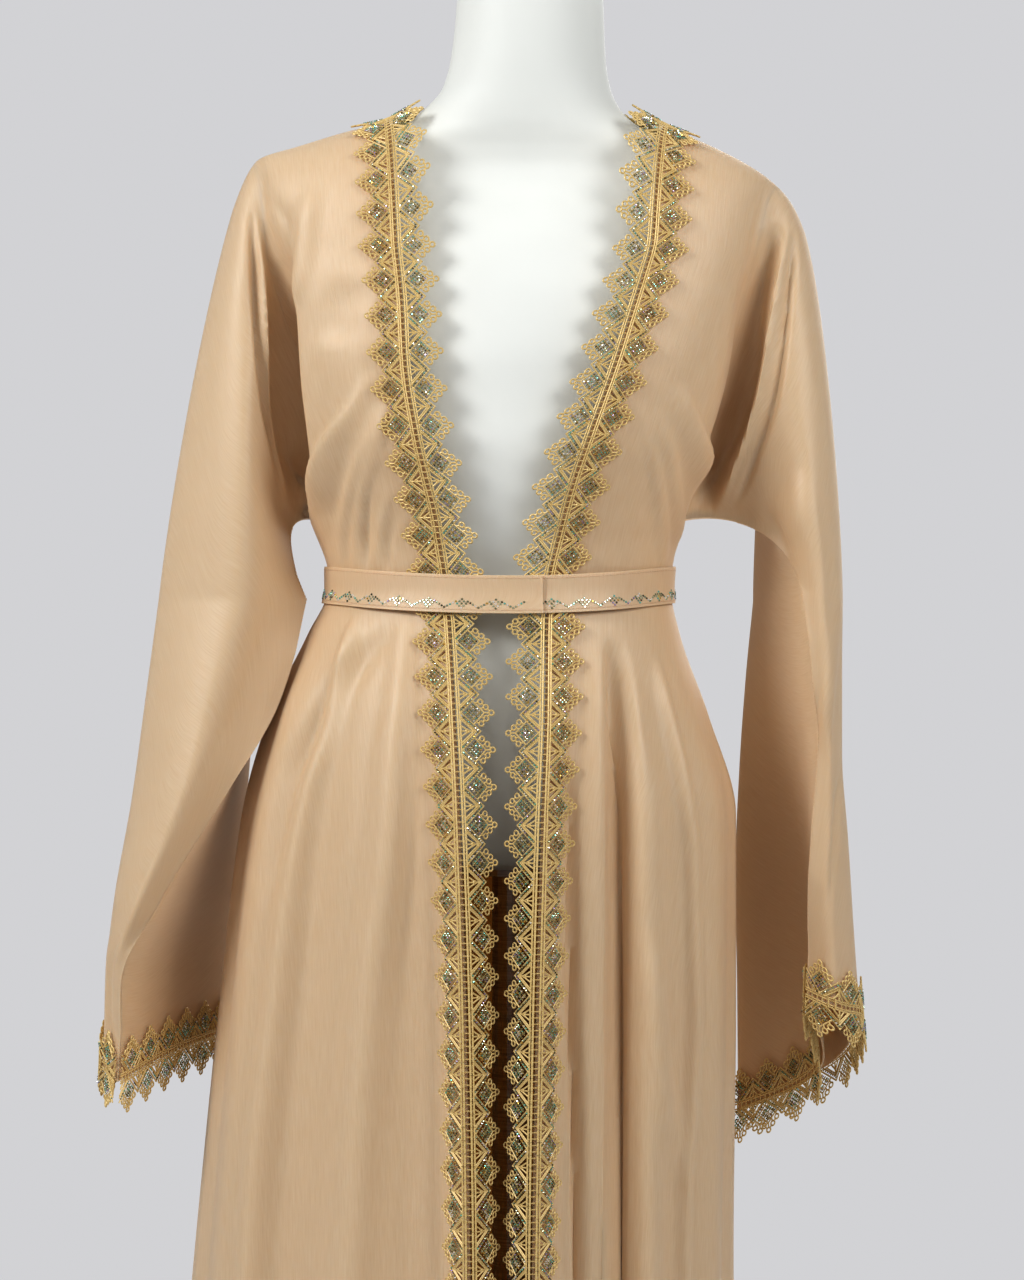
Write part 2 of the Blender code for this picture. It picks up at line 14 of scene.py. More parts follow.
import bpy
import numpy as np
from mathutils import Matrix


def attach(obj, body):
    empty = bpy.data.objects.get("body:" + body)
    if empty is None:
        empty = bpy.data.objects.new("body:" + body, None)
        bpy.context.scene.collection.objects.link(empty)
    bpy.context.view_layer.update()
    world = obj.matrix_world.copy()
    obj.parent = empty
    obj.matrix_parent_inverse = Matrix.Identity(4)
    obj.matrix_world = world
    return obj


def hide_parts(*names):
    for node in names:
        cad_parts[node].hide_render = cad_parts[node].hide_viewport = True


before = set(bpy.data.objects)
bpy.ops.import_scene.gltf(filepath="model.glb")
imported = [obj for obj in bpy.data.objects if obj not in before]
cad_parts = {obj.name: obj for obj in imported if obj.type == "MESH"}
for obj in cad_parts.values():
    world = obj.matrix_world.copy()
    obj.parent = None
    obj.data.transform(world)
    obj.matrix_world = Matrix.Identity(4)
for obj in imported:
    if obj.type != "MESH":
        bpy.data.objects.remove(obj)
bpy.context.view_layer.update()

MM = 0.001
RIGHT, LEFT = -1, 1
SIDES = (RIGHT, LEFT)
SIDE_NAME = {RIGHT: "right", LEFT: "left"}
rng = np.random.default_rng(1420)


# %% [markdown]
# ## Camera
# The picture was taken level, from the height of the waist, with a long lens, so upright
# edges stay upright. Long lenses flatten depth; the distance sets how much.

# %% Camera
CAMERA_DISTANCE = 2.6
CAMERA_HEIGHT = 1.04
VIEW_HEIGHT = 1.024
SENSOR = 36.0

bpy.ops.object.camera_add(
    location=(0, -CAMERA_DISTANCE, CAMERA_HEIGHT), rotation=(math.pi / 2, 0, 0)
)
camera = bpy.context.object
camera.data.sensor_width = SENSOR
camera.data.lens = SENSOR * CAMERA_DISTANCE / VIEW_HEIGHT
bpy.context.scene.camera = camera
print("lens", round(camera.data.lens, 1), "mm")


# %% [markdown]
# ## Measures of the garment
# A pattern cutter works from level measures: how wide and deep the body is at the hem, hip,
# waist and bust. The same idea works here. Each table lists a height and what is measured
# there, all in millimetres, and a smooth curve runs through the values.

# %% Curves through tables of measures
def table(columns, *rows):
    return dict(zip(columns.split(), np.array(rows, float).T))


def curve(x, xs, ys, rounded=False):
    """Cubic through values. It stays between them, or swings rounder if asked."""
    xs, ys = np.asarray(xs, float), np.asarray(ys, float)
    step = np.diff(xs)
    slope = np.diff(ys) / step
    before, after = slope[:-1], slope[1:]
    if rounded:
        inner = (before * step[1:] + after * step[:-1]) / (step[1:] + step[:-1])
    else:
        same_way = before * after > 0
        inner = np.where(same_way, 2 * before * after / np.where(same_way, before + after, 1), 0)
    tangent = np.concatenate([slope[:1], inner, slope[-1:]])
    i = np.clip(np.searchsorted(xs, x, side="right") - 1, 0, len(step) - 1)
    t = np.clip((x - xs[i]) / step[i], 0, 1)
    return (
        ys[i] * (1 + 2 * t) * (1 - t) ** 2
        + ys[i + 1] * t * t * (3 - 2 * t)
        + tangent[i] * step[i] * t * (1 - t) ** 2
        - tangent[i + 1] * step[i] * t * t * (1 - t)
    )


HEM, ARMPIT, YOKE, TOP = 0.030, 1.135, 1.345, 1.450

BODY = table(
    "height right left front back box edge_right edge_left armhole",
    (30, 292, 214, 226, 240, 1.00, 32, 15, 0),
    (280, 274, 196, 202, 212, 1.00, 31, 15, 0),
    (528, 254, 176, 174, 182, 1.00, 31, 15, 0),
    (750, 233, 179, 154, 158, 1.00, 34, 18, 0),
    (900, 216, 179, 143, 147, 1.00, 39, 22, 0),
    (980, 194, 157, 133, 137, 0.98, 43, 25, 0),
    (1045, 163, 134, 116, 117, 0.95, 47, 26, 0),
    (1081, 147, 127, 106, 105, 0.92, 50, 27, 0),
    (1115, 148, 131, 108, 106, 0.90, 55, 34, 0),
    (1135, 153, 137, 113, 108, 0.88, 58, 39, 0),
    (1160, 160, 144, 118, 110, 0.86, 64, 46, 10),
    (1200, 168, 155, 124, 112, 0.84, 73, 60, 21),
    (1250, 175, 166, 122, 112, 0.82, 81, 78, 27),
    (1300, 183, 177, 112, 112, 0.82, 84, 94, 29),
    (1345, 191, 188, 98, 108, 0.84, 89, 108, 28),
)
SHOULDER = {
    RIGHT: table(
        "across height",
        (60, 1475), (86, 1460), (99, 1453), (130, 1446), (174, 1433), (196, 1427), (205, 1423),
    ),
    LEFT: table(
        "across height",
        (83, 1471), (109, 1456), (122, 1449), (150, 1438), (185, 1421), (204, 1409), (212, 1402),
    ),
}
SHOULDER_TIP = {RIGHT: 0.205, LEFT: 0.212}
NECK_EDGE = {RIGHT: 0.099, LEFT: 0.122}
NECK_BACK_DEPTH = 0.090
NECK_BACK_HEIGHT = 1.452
NECK_CENTRE = 0.012
EDGE_RIDGE = table(
    "height rise",
    (30, 28), (280, 28), (528, 27), (750, 21), (900, 12), (980, 6), (1040, 1.5), (1062, 0),
)
EDGE_RIDGE_REACH = 0.026

print("length of the coat", round(TOP - HEM, 2), "m")


# %% [markdown]
# ## Fronts and back
# The body tapers from the bust to a belted waist and flares to the hem. Below the waist the
# spare cloth stands in tube-like folds, shallow at the hip and deep at the hem. The folds are
# pushes in and out round the skirt, each at its own angle. Above the bust each panel rolls
# over to the shoulder seam.

# %% Surfaces of the fronts and back
SKIRT_FOLDS = table(
    "waist_angle hem_angle half_width hip_depth knee_depth hem_depth",
    (23, 22, 6.5, -7, -11, -13),
    (36, 35, 10, 5, 6, 9),
    (45, 46, 9, -3, -6, -10),
    (60, 58, 11, 4, 7, 12),
    (76, 74, 9, -3, -7, -11),
    (103, 102, 13, 3, 7, 12),
    (122, 123, 11, -5, -9, -14),
    (142, 143, 12, 4, 8, 14),
    (161, 162, 11, -5, -9, -15),
    (181, 180, 11, 4, 8, 13),
    (200, 199, 11, -5, -10, -15),
    (219, 220, 12, 4, 8, 14),
    (240, 241, 12, -5, -9, -14),
    (261, 262, 11, 3, 6, 10),
    (282, 284, 10, -4, -7, -9),
    (299, 301, 11, 5, 8, 12),
    (315, 316, 10, -6, -7, -9),
    (330, 331, 10, 5, 7, 11),
    (343, 344, 7, -4, -6, -8),
)
FOLD_HEIGHTS = (HEM, 0.50, 0.88, 1.040)


def measure(column, height):
    return curve(height / MM, BODY["height"], BODY[column])


def above_yoke(height):
    return np.clip((height - YOKE) / (TOP - YOKE), 0, 1)


def half_width(side, height):
    level = measure(SIDE_NAME[side], np.minimum(height, YOKE)) * MM
    share = above_yoke(height)
    return level * (1 - share) + SHOULDER_TIP[side] * share


def free_edge(side, height):
    level = measure("edge_" + SIDE_NAME[side], np.minimum(height, YOKE)) * MM
    share = above_yoke(height)
    return level * (1 - share) + NECK_EDGE[side] * share


def skirt_fold(angle, height):
    push = np.zeros(np.broadcast(angle, height).shape)
    fall = np.clip((FOLD_HEIGHTS[-1] - height) / (FOLD_HEIGHTS[-1] - HEM), 0, 1)
    for k in range(len(SKIRT_FOLDS["half_width"])):
        fold = {name: column[k] for name, column in SKIRT_FOLDS.items()}
        middle = fold["waist_angle"] + (fold["hem_angle"] - fold["waist_angle"]) * fall
        away = np.clip((angle - middle) / fold["half_width"], -1, 1)
        depths = (fold["hem_depth"], fold["knee_depth"], fold["hip_depth"], 0)
        push = push + curve(height, FOLD_HEIGHTS, depths) * 0.5 * (1 + np.cos(math.pi * away))
    return push * MM


def bend(start, middle, end, share):
    share = share[..., None]
    return start * (1 - share) ** 2 + middle * 2 * share * (1 - share) + end * share**2


def stack(*parts):
    return np.stack(np.broadcast_arrays(*parts), axis=-1)


def front(side, across, height):
    """Point of a front: across is 0 at its free edge, 1 at its side and negative past it."""
    level = np.minimum(height, YOKE)
    width = half_width(side, height)
    start = np.arcsin(free_edge(side, height) / width)
    turn = start + (math.pi / 2 - start) * across
    x = side * width * np.sin(turn)
    opening = measure("armhole", level) * MM
    depth = measure("front", level) * MM
    y = -opening - (depth - opening) * np.maximum(np.cos(turn), 0) ** measure("box", level)
    past_edge = side * x - free_edge(side, height)
    angle = np.degrees(turn) if side > 0 else 360 - np.degrees(turn)
    push = skirt_fold(angle, level) * np.clip(past_edge / EDGE_RIDGE_REACH - 1.1, 0, 1)
    ridge = curve(level / MM, EDGE_RIDGE["height"], EDGE_RIDGE["rise"]) * MM
    ridge = ridge * (1 + np.cos(math.pi * np.clip(past_edge / EDGE_RIDGE_REACH, -1, 1))) / 2
    x, y = x + side * push * np.sin(turn), y - push * np.cos(turn) - ridge
    top = curve(np.abs(x) / MM, SHOULDER[side]["across"], SHOULDER[side]["height"]) * MM
    return bend(
        stack(x, y, level), stack(x, 0.80 * y, top), stack(x, 0.0, top),
        above_yoke(height),
    )


def back(across, height):
    """Point of the back: across is -1 at the wearer's right side and 1 at the left side."""
    level = np.minimum(height, YOKE)
    width = np.where(across < 0, half_width(RIGHT, height), half_width(LEFT, height))
    turn = across * math.pi / 2
    x = width * np.sin(turn)
    opening = measure("armhole", level) * MM
    depth = measure("back", level) * MM
    y = opening + (depth - opening) * np.maximum(np.cos(turn), 0) ** measure("box", level)
    push = skirt_fold(180 - 90 * across, level)
    x, y = x + push * np.sin(turn), y + push * np.cos(turn)
    edge = np.where(x < 0, NECK_EDGE[RIGHT], NECK_EDGE[LEFT])
    hollow = np.sqrt(np.clip(1 - (x / edge) ** 2, 0, 1))
    over = [
        curve(np.maximum(side * x, NECK_EDGE[side]) / MM,
              SHOULDER[side]["across"], SHOULDER[side]["height"])
        for side in SIDES
    ]
    line = np.where(x < 0, over[0], over[1])
    top = line * MM * (1 - hollow) + NECK_BACK_HEIGHT * hollow
    return bend(
        stack(x, y, level),
        stack(x, 0.74 * y + 0.23 * y * hollow, top - 18 * MM * hollow),
        stack(x, NECK_BACK_DEPTH * hollow, top),
        above_yoke(height),
    )


hem_width = half_width(RIGHT, HEM) + half_width(LEFT, HEM)
print("width at the hem", round(float(hem_width), 3), "m")


# %% [markdown]
# ## Sleeves
# Each sleeve is a wide empty tube. Near the armhole it is round; towards the wrist the cloth
# collapses on itself, so a section there is a flat lens with a fold at its front edge and a
# hollow along the inside. Sections are listed as points round the tube and the surface is
# swept through them.

# %% Surfaces of the sleeves
SLEEVE_COLUMNS = (
    "height fold_x fold_y front_x front_y outer_x outer_y back_x back_y inner_x inner_y "
    "recess_x recess_y"
)
SLEEVE = {
    RIGHT: table(
        SLEEVE_COLUMNS,
        (1072, -168, -20, -215, -70, -281, -15, -250, 45, -208, 55, -186, 30),
        (992, -189, -40, -237, -80, -291, -20, -262, 50, -213, 60, -202, 18),
        (920, -226, -56, -258, -86, -300, -25, -275, 56, -217, 68, -222, 4),
        (840, -272, -60, -292, -78, -312, -30, -286, 62, -226, 76, -250, 8),
        (778, -303, -58, -312, -48, -318, -22, -292, 62, -236, 82, -270, 12),
        (706, -309, -56, -316, -44, -321, -18, -294, 62, -241, 84, -275, 14),
    ),
    LEFT: table(
        SLEEVE_COLUMNS,
        (1072, 226, -48, 245, -60, 262, -8, 238, 58, 197, 56, 207, 6),
        (1008, 232, -50, 248, -58, 261, -10, 240, 62, 191, 58, 214, 10),
        (944, 238, -46, 250, -54, 261, -10, 242, 66, 187, 64, 224, 18),
        (870, 236, -46, 252, -54, 266, -10, 246, 70, 185, 74, 234, 20),
        (790, 234, -43, 254, -53, 271, -8, 252, 72, 187, 78, 242, 22),
        (705, 232, -41, 256, -51, 277, -5, 259, 72, 188, 78, 249, 24),
    ),
}
SLEEVE_KNOTS = (0.0, 0.25, 0.5, 0.68, 0.83, 0.92, 1.0)
SLEEVE_POINTS = ("fold", "front", "outer", "back", "inner", "recess", "fold")
CUFF_RISE = {RIGHT: (-12, -5, 0, 5, 10, 2, -12), LEFT: (56, 45, 29, -15, -52, -10, 56)}
ELBOW = 0.42
SLEEVE_CAP = {
    RIGHT: {"pit_out": 0.042, "tip_out": 0.018, "push": 0.034, "lean": -0.014},
    LEFT: {"pit_out": 0.052, "tip_out": 0.034, "push": 0.026, "lean": 0.002},
}


def armhole(side, around):
    height = ARMPIT + (TOP - ARMPIT) * (1 - np.abs(around * 2 - 1))
    ahead = front(side, np.ones_like(height), height)
    behind = back(np.full_like(height, side), height)
    return np.where((around <= 0.5)[..., None], ahead, behind)


def round_section(around, knots):
    result = 0
    for k, value in enumerate(knots):
        result = result + curve(around, SLEEVE_KNOTS, np.eye(len(knots))[k], True) * value
    return result


def forearm(side, around, down):
    rows = SLEEVE[side]
    places = np.linspace(0, 1, len(rows["height"]))
    ring = np.zeros(np.broadcast(around, down).shape + (3,))
    for axis, name in enumerate("xy"):
        knots = [curve(down, places, rows[f"{point}_{name}"]) for point in SLEEVE_POINTS]
        ring[..., axis] = round_section(around, knots)
    ring[..., 2] = curve(down, places, rows["height"])
    ring[..., 2] += down**2 * round_section(around, [float(value) for value in CUFF_RISE[side]])
    return ring * MM


def sleeve(side, around, down):
    """Point of a sleeve: around starts at the armpit and passes the front, top and back."""
    cap = SLEEVE_CAP[side]
    share = np.clip(down / ELBOW, 0, 1)[..., None]
    start = armhole(side, around)
    end = forearm(side, around, np.zeros_like(down))
    reach = np.linalg.norm(end - start, axis=-1)
    high = np.sin(math.pi * around) ** 2
    out = side * (cap["pit_out"] * (1 - high) + cap["tip_out"] * high)
    push = -cap["push"] * np.sin(2 * math.pi * around)
    first = start + stack(out, push, 0.010 * (1 - high))
    last = end + stack(-cap["lean"] * high, np.zeros_like(reach), 0.35 * reach)
    upper = (
        start * (1 - share) ** 3
        + first * 3 * share * (1 - share) ** 2
        + last * 3 * share**2 * (1 - share)
        + end * share**3
    )
    lower = forearm(side, around, np.clip((down - ELBOW) / (1 - ELBOW), 0, 1))
    return np.where((down <= ELBOW)[..., None], upper, lower)


for side in SIDES:
    cuff = sleeve(side, np.linspace(0, 1, 13), np.ones(13))
    print(SIDE_NAME[side], "cuff", np.ptp(cuff, axis=0).round(3), "m")


# %% [markdown]
# ## From a formula to a cloth panel
# A grid is added, its points are moved to where the formula puts them, edges that meet are
# merged, and Solidify gives the sheet its thickness inwards. The grid's UV map is set to real
# metres of cloth along its grain and across it, so that a weave drawn from it keeps its size
# and follows every fold.

# %% Tools for panels
WALL = 1.4 * MM


def only(*objects):
    """Selects these objects alone, and makes the first the active one."""
    bpy.ops.object.select_all(action="DESELECT")
    for item in objects:
        item.select_set(True)
    bpy.context.view_layer.objects.active = objects[0]


def unit(vectors):
    return vectors / np.maximum(np.linalg.norm(vectors, axis=-1, keepdims=True), 1e-12)


def normals_of(points):
    """Normals of a grid of points: along its rows turned into down its columns."""
    return unit(np.cross(np.gradient(points, axis=1), np.gradient(points, axis=0)))


def lengths_along(points, axis):
    steps = np.linalg.norm(np.diff(points, axis=axis), axis=-1)
    first = np.zeros_like(np.take(steps, [0], axis=axis))
    return np.concatenate([first, np.cumsum(steps, axis=axis)], axis=axis)


def edit(*steps):
    """Runs operators in edit mode on all of the active object, one after another."""
    bpy.ops.object.mode_set(mode="EDIT")
    bpy.ops.mesh.select_all(action="SELECT")
    for operator, settings in steps:
        operator(**settings)
    bpy.ops.object.mode_set(mode="OBJECT")


def panel(name, points, wall=WALL, turned=False, grain_along=True):
    rows, columns = points.shape[0] - 1, points.shape[1] - 1
    bpy.ops.object.select_all(action="DESELECT")
    bpy.ops.mesh.primitive_grid_add(x_subdivisions=columns, y_subdivisions=rows, size=1)
    made = bpy.context.object
    made.name = made.data.name = name
    mesh = made.data
    flat = np.empty(len(mesh.vertices) * 3)
    mesh.vertices.foreach_get("co", flat)
    flat = flat.reshape(-1, 3)
    column = np.rint((flat[:, 0] + 0.5) * columns).astype(int)
    row = np.rint((flat[:, 1] + 0.5) * rows).astype(int)
    mesh.vertices.foreach_set("co", points[row, column].ravel())
    corners = np.empty(len(mesh.loops), int)
    mesh.loops.foreach_get("vertex_index", corners)
    cut = [lengths_along(points, 1), lengths_along(points, 0)]
    if not grain_along:
        cut.reverse()
    uv = stack(*cut)[row[corners], column[corners]]
    mesh.uv_layers.active.data.foreach_set("uv", uv.ravel())
    steps = [(bpy.ops.mesh.remove_doubles, {"threshold": 1e-6})]
    if turned:
        steps.append((bpy.ops.mesh.flip_normals, {}))
    edit(*steps)
    bpy.ops.object.modifier_add(type="SOLIDIFY")
    solid = made.modifiers[-1]
    solid.thickness, solid.offset, solid.use_quality_normals = wall, -1, True
    bpy.ops.object.modifier_apply(modifier=solid.name)
    bpy.ops.object.shade_smooth_by_angle(angle=math.radians(55))
    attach(made, "root")
    return made


def flat_area(points):
    """Area of a grid of points, in square metres."""
    a, b = points[1:, 1:] - points[:-1, :-1], points[1:, :-1] - points[:-1, 1:]
    return float(np.linalg.norm(np.cross(a, b), axis=-1).sum() / 2)


print("cloth", round(WALL / MM, 1), "mm thick")


# %% [markdown]
# ## Creases
# Besides the large folds, cloth shows soft troughs and ridges: pleats drawn in by the belt,
# drag lines from the shoulder to the waist, and hollows where a sleeve hangs against the body.
# Each is a line down the panel with its own width and depth at each height, and the panel's
# points move out or in along their normals.

# %% Creases
def crease_push(lines, across, height):
    """Sum of the pushes. Each line's rows are height, place, reach before, reach after, push."""
    total = np.zeros_like(across)
    for rows in lines:
        level, place, before, after, push = np.array(sorted(rows), float).T * MM
        middle = curve(height, level, place)
        away = across - middle
        reach = np.where(away < 0, curve(height, level, before), curve(height, level, after))
        near = np.clip(away / np.maximum(reach, 1e-6), -1, 1)
        inside = (height >= level[0]) & (height <= level[-1])
        total += np.where(inside, curve(height, level, push), 0) * (1 + np.cos(math.pi * near)) / 2
    return total


CREASES = {
    "right": [
        # edge of the fold under the arm
        (
            (1092, -141, 6, 12, 0), (1107, -144, 7, 16, 3.9), (1126, -148, 8, 20, 7.8),
            (1147, -152, 8, 22, 10.4), (1167, -150, 8, 22, 11.7), (1188, -146, 8, 22, 10.4),
            (1205, -136, 8, 20, 7.8), (1222, -124, 6, 16, 3.9), (1245, -112, 4, 10, 0),
        ),
        # first drag line
        (
            (1094, -134, 6.25, 6.25, 0), (1114, -133, 7.5, 7.5, 2.9), (1143, -129, 8.75, 8.75, 3.6),
            (1176, -119, 8.75, 10, 3.2), (1205, -104, 8.75, 10, 2.2), (1225, -98, 6.25, 7.5, 0),
        ),
        # second drag line
        (
            (1094, -122, 5, 6.25, 0), (1110, -122, 6.25, 7.5, 2.2), (1136, -119, 7.5, 8.75, 3.2),
            (1164, -113, 7.5, 8.75, 3.2), (1201, -100, 7.5, 8.75, 2.2), (1222, -92, 6.25, 7.5, 0),
        ),
        # pleat
        (
            (1094, -114, 4, 4, 0), (1113, -113, 5, 5, -2.7), (1140, -112, 5, 5, -2.3),
            (1172, -107, 4, 4, 0),
        ),
        # pleat
        (
            (1094, -105, 4, 4, 0), (1109, -104, 4, 5, 2.3), (1132, -101, 5, 5, 2.3),
            (1162, -92, 4, 4, 0),
        ),
        # pleat
        (
            (1094, -96, 4, 4, 0), (1105, -96, 4, 4, -2.3), (1124, -93, 5, 5, -1.8),
            (1147, -86, 4, 4, 0),
        ),
        # turn of the chest
        (
            (1156, -154, 8, 14, 0), (1183, -160, 8, 20, 5), (1225, -167, 8, 22, 6),
            (1264, -170, 7, 20, 4), (1302, -173, 6, 14, 0),
        ),
        # recess at the armhole
        (
            (1134, -163, 13, 13.5, 0), (1165, -168, 15.6, 16.2, -31.3), (1212, -175, 16.9, 18.9, -39.1),
            (1267, -181, 15.6, 18.9, -31.3), (1314, -185, 13, 16.2, -17.6),
            (1349, -188, 11.7, 13.5, -7.8), (1373, -191, 10.4, 10.8, 0),
        ),
        # small fold beside the recess
        (
            (1145, -173, 6, 5, 0), (1172, -178, 6, 6, 5.2), (1219, -185, 6, 6, 7.8),
            (1274, -192, 6, 6, 7.8), (1328, -195, 6, 6, 5.2), (1358, -199, 5, 5, 0),
        ),
        # valley inside the sleeve's edge
        (
            (1149, -181, 5, 5, 0), (1180, -184, 7, 5, -4.8), (1227, -192, 7, 5, -7.2),
            (1289, -199, 6, 5, -7.2), (1344, -203, 6, 5, -4.8), (1383, -206, 5, 4, 0),
        ),
        # shoulder drag
        (
            (1295, -172, 10, 12, 0), (1326, -166, 12, 16, 3.6), (1369, -161, 14, 16, 3.6),
            (1396, -156, 12, 14, 0),
        ),
        # shoulder hollow
        (
            (1304, -179, 8, 10, 0), (1334, -178, 9, 12, -6), (1362, -176, 10, 12, -4.5),
            (1390, -190, 9, 9, 0),
        ),
        # bust shade
        (
            (1266, -139, 22, 22, 0), (1284, -135, 26, 26, -3.8), (1300, -132, 28, 28, -3.8),
            (1323, -128, 25, 25, 0),
        ),
        # near ridge
        (
            (90, -143, 30, 26, 7.9), (392, -133, 30, 26, 9.9), (561, -123, 30, 26, 11.9),
            (766, -108, 26, 24, 11.9), (883, -93, 24, 20, 11.9), (950, -89, 22, 18, 9.9),
            (1002, -85, 18, 16, 5.9), (1061, -83, 10, 10, 0),
        ),
        # dark valley
        (
            (834, -192, 21, 21, 0), (881, -183, 24, 24, -4.3), (932, -170, 27, 27, -6.4),
            (968, -151, 24, 24, -7.6), (1008, -129, 21, 21, -6.4), (1032, -109, 18, 18, -4.3),
            (1057, -91, 12, 12, 0),
        ),
        # side ridge
        (
            (84, -220, 16, 24, 7.9), (388, -209, 16, 24, 7.9), (607, -199, 16, 24, 9.9),
            (764, -181, 16, 22, 9.9), (910, -161, 14, 18, 9.9), (984, -140, 12, 16, 9.9),
            (1025, -130, 10, 14, 7.9), (1061, -121, 8, 10, 0),
        ),
    ],
    "left": [
        # edge of the fold under the arm
        (
            (1092, 147, 12, 6, 0), (1113, 150, 16, 7, 3.9), (1147, 153, 20, 8, 7.8),
            (1178, 150, 20, 8, 9.1), (1205, 143, 20, 8, 6.5), (1239, 132, 16, 6, 0),
        ),
        # first drag line
        (
            (1094, 135, 6.25, 6.25, 0), (1114, 134, 7.5, 7.5, 2.2), (1143, 130, 8.75, 8.75, 3.2),
            (1184, 122, 10, 8.75, 2.9), (1216, 112, 10, 8.75, 0),
        ),
        # second drag line
        (
            (1094, 119, 6.25, 5, 0), (1109, 119, 7.5, 6.25, 2.2), (1132, 118, 8.75, 7.5, 2.9),
            (1170, 112, 8.75, 7.5, 2.9), (1208, 103, 8.75, 7.5, 0),
        ),
        # turn of the chest
        (
            (1156, 148, 14, 8, 0), (1183, 153, 20, 8, 4), (1225, 163, 22, 8, 5), (1264, 170, 20, 7, 4),
            (1302, 173, 14, 6, 0),
        ),
        # recess at the armhole
        (
            (1134, 148, 13, 13.5, 0), (1161, 156, 15.6, 16.2, -27.4), (1204, 170, 18.2, 17.6, -35.2),
            (1251, 183, 18.2, 16.2, -27.4), (1298, 191, 15.6, 13.5, -17.6), (1341, 200, 13, 12.2, -9.8),
            (1373, 209, 10.4, 10.8, 0),
        ),
        # small fold beside the recess
        (
            (1145, 162, 5, 6, 0), (1172, 174, 6, 6, 3.9), (1219, 191, 6, 6, 6.5),
            (1274, 202, 6, 6, 6.5), (1324, 210, 6, 6, 5.2), (1362, 216, 5, 5, 0),
        ),
        # valley inside the sleeve's edge
        (
            (1145, 177, 5, 5, 0), (1172, 187, 5, 7, -3.6), (1219, 202, 5, 7, -6), (1274, 213, 5, 6, -6),
            (1328, 220, 5, 6, -4.8), (1371, 224, 4, 5, 0),
        ),
        # elbow hump
        (
            (1079, 231, 12, 12, 0), (1114, 230, 18, 16, 3.6), (1138, 227, 22, 16, 6),
            (1174, 225, 14, 12, 0),
        ),
        # elbow drag
        (
            (1095, 219, 8, 8, 0), (1118, 211, 10, 9, -5.2), (1149, 202, 8, 8, 0),
        ),
        # front of the forearm
        (
            (946, 240, 8, 8, 0), (993, 246, 10, 9, 3.6), (1056, 253, 10, 9, 3.6), (1118, 255, 8, 8, 0),
        ),
        # forearm crease
        (
            (824, 249, 4, 4, 0), (868, 252, 5, 5, -3), (915, 256, 5, 5, -3), (938, 259, 4, 4, 0),
        ),
        # crease beside the lace
        (
            (93, 57, 4, 10, -8.4), (319, 53, 4, 10, -9.8), (559, 49, 4, 10, -11.2),
            (672, 47, 4, 10, -11.2), (785, 44, 4, 10, -9.8), (845, 44, 4, 10, -8.4),
            (912, 43, 4, 9, -5.6), (950, 41, 4, 8, 0),
        ),
        # lip of the deep valley
        (
            (90, 71, 14, 12.6, 4.8), (316, 69, 14, 12.6, 5.7), (558, 67, 15, 12.6, 6.6),
            (769, 66, 15, 12.6, 6.6), (919, 66, 15, 10.5, 5.7), (1002, 66, 14, 10.5, 3.8),
            (1040, 66, 14, 8.4, 0),
        ),
        # deep valley
        (
            (88, 85.5, 14.4, 26.2, -16.6), (315, 82.5, 14.4, 26.2, -20.7),
            (557, 80.5, 12.6, 26.2, -24.9), (768, 79.5, 12.6, 24.3, -24.9),
            (919, 79.5, 11.2, 22.4, -20.7), (1002, 78.5, 9.6, 18.7, -12.4), (1040, 77.5, 7.8, 13.1, 0),
        ),
        # seam ridge
        (
            (79, 136, 10.8, 7.2, 4.2), (307, 131, 10.8, 7.2, 4.2), (555, 132, 10.8, 7.2, 5.6),
            (622, 134, 10.8, 7.2, 5.6), (692, 139, 10.8, 7.2, 5.6), (762, 142, 10.8, 7.2, 5.6),
            (881, 140, 10.8, 7.2, 5.6), (945, 130, 10.8, 7.2, 5.6), (994, 119, 9.6, 6, 4.2),
            (1025, 113, 6, 4.8, 0),
        ),
        # soft ridge
        (
            (618, 131, 12, 12, 0), (677, 119, 14, 14, 5.4), (771, 108, 14, 14, 5.4),
            (820, 106, 12, 12, 0),
        ),
    ],
}


print({name: len(lines) for name, lines in CREASES.items()}, "creases")


# %% [markdown]
# ## Cutting and sewing the panels
# The fronts, the back and the sleeves meet at the sides, the shoulders and round the armholes.
# Each panel is a grid that has the same rows of points as its neighbour where the two meet.
# The angle at the armhole is rounded off, the creases are pushed in, and then the meeting
# points are brought to one place, as a seam does. Each sleeve also gets its sharp front fold.

# %% Fronts, back and sleeves
ARMHOLE_STEPS = 60
ROWS = np.concatenate(
    [np.linspace(HEM, ARMPIT, 191)[:-1], np.linspace(ARMPIT, TOP, ARMHOLE_STEPS + 1)]
)
UPPER = slice(len(ROWS) - ARMHOLE_STEPS - 1, None)
FRONT_COLUMNS, BACK_COLUMNS, SLEEVE_ROWS = 76, 120, 150
SOFT_REACH = 16
FOLD_EDGE, FOLD_EDGE_REACH = 12 * MM, 38 * MM


def soften(ahead, behind, strength, rounds=140):
    """Rounds off the angle where two grids meet: ahead ends and behind starts at the seam."""
    count = SOFT_REACH + 1
    strip = np.concatenate([ahead[:, -count:], behind[:, 1:count]], axis=1)
    place = np.abs(np.arange(strip.shape[1]) - SOFT_REACH) / SOFT_REACH
    weight = strength[:, None, None] * (1 - place)[None, :, None] * 0.5
    for _ in range(rounds):
        middle = (strip[:, :-2] + strip[:, 2:]) / 2
        strip[:, 1:-1] += weight[:, 1:-1] * (middle - strip[:, 1:-1])
    ahead[:, -count:] = strip[:, :count]
    behind[:, :count] = strip[:, SOFT_REACH:]


def creased(points, side, outward, fade):
    push = crease_push(CREASES[SIDE_NAME[side]], points[..., 0], points[..., 2])
    return points + outward * normals_of(points) * (push * fade)[..., None]


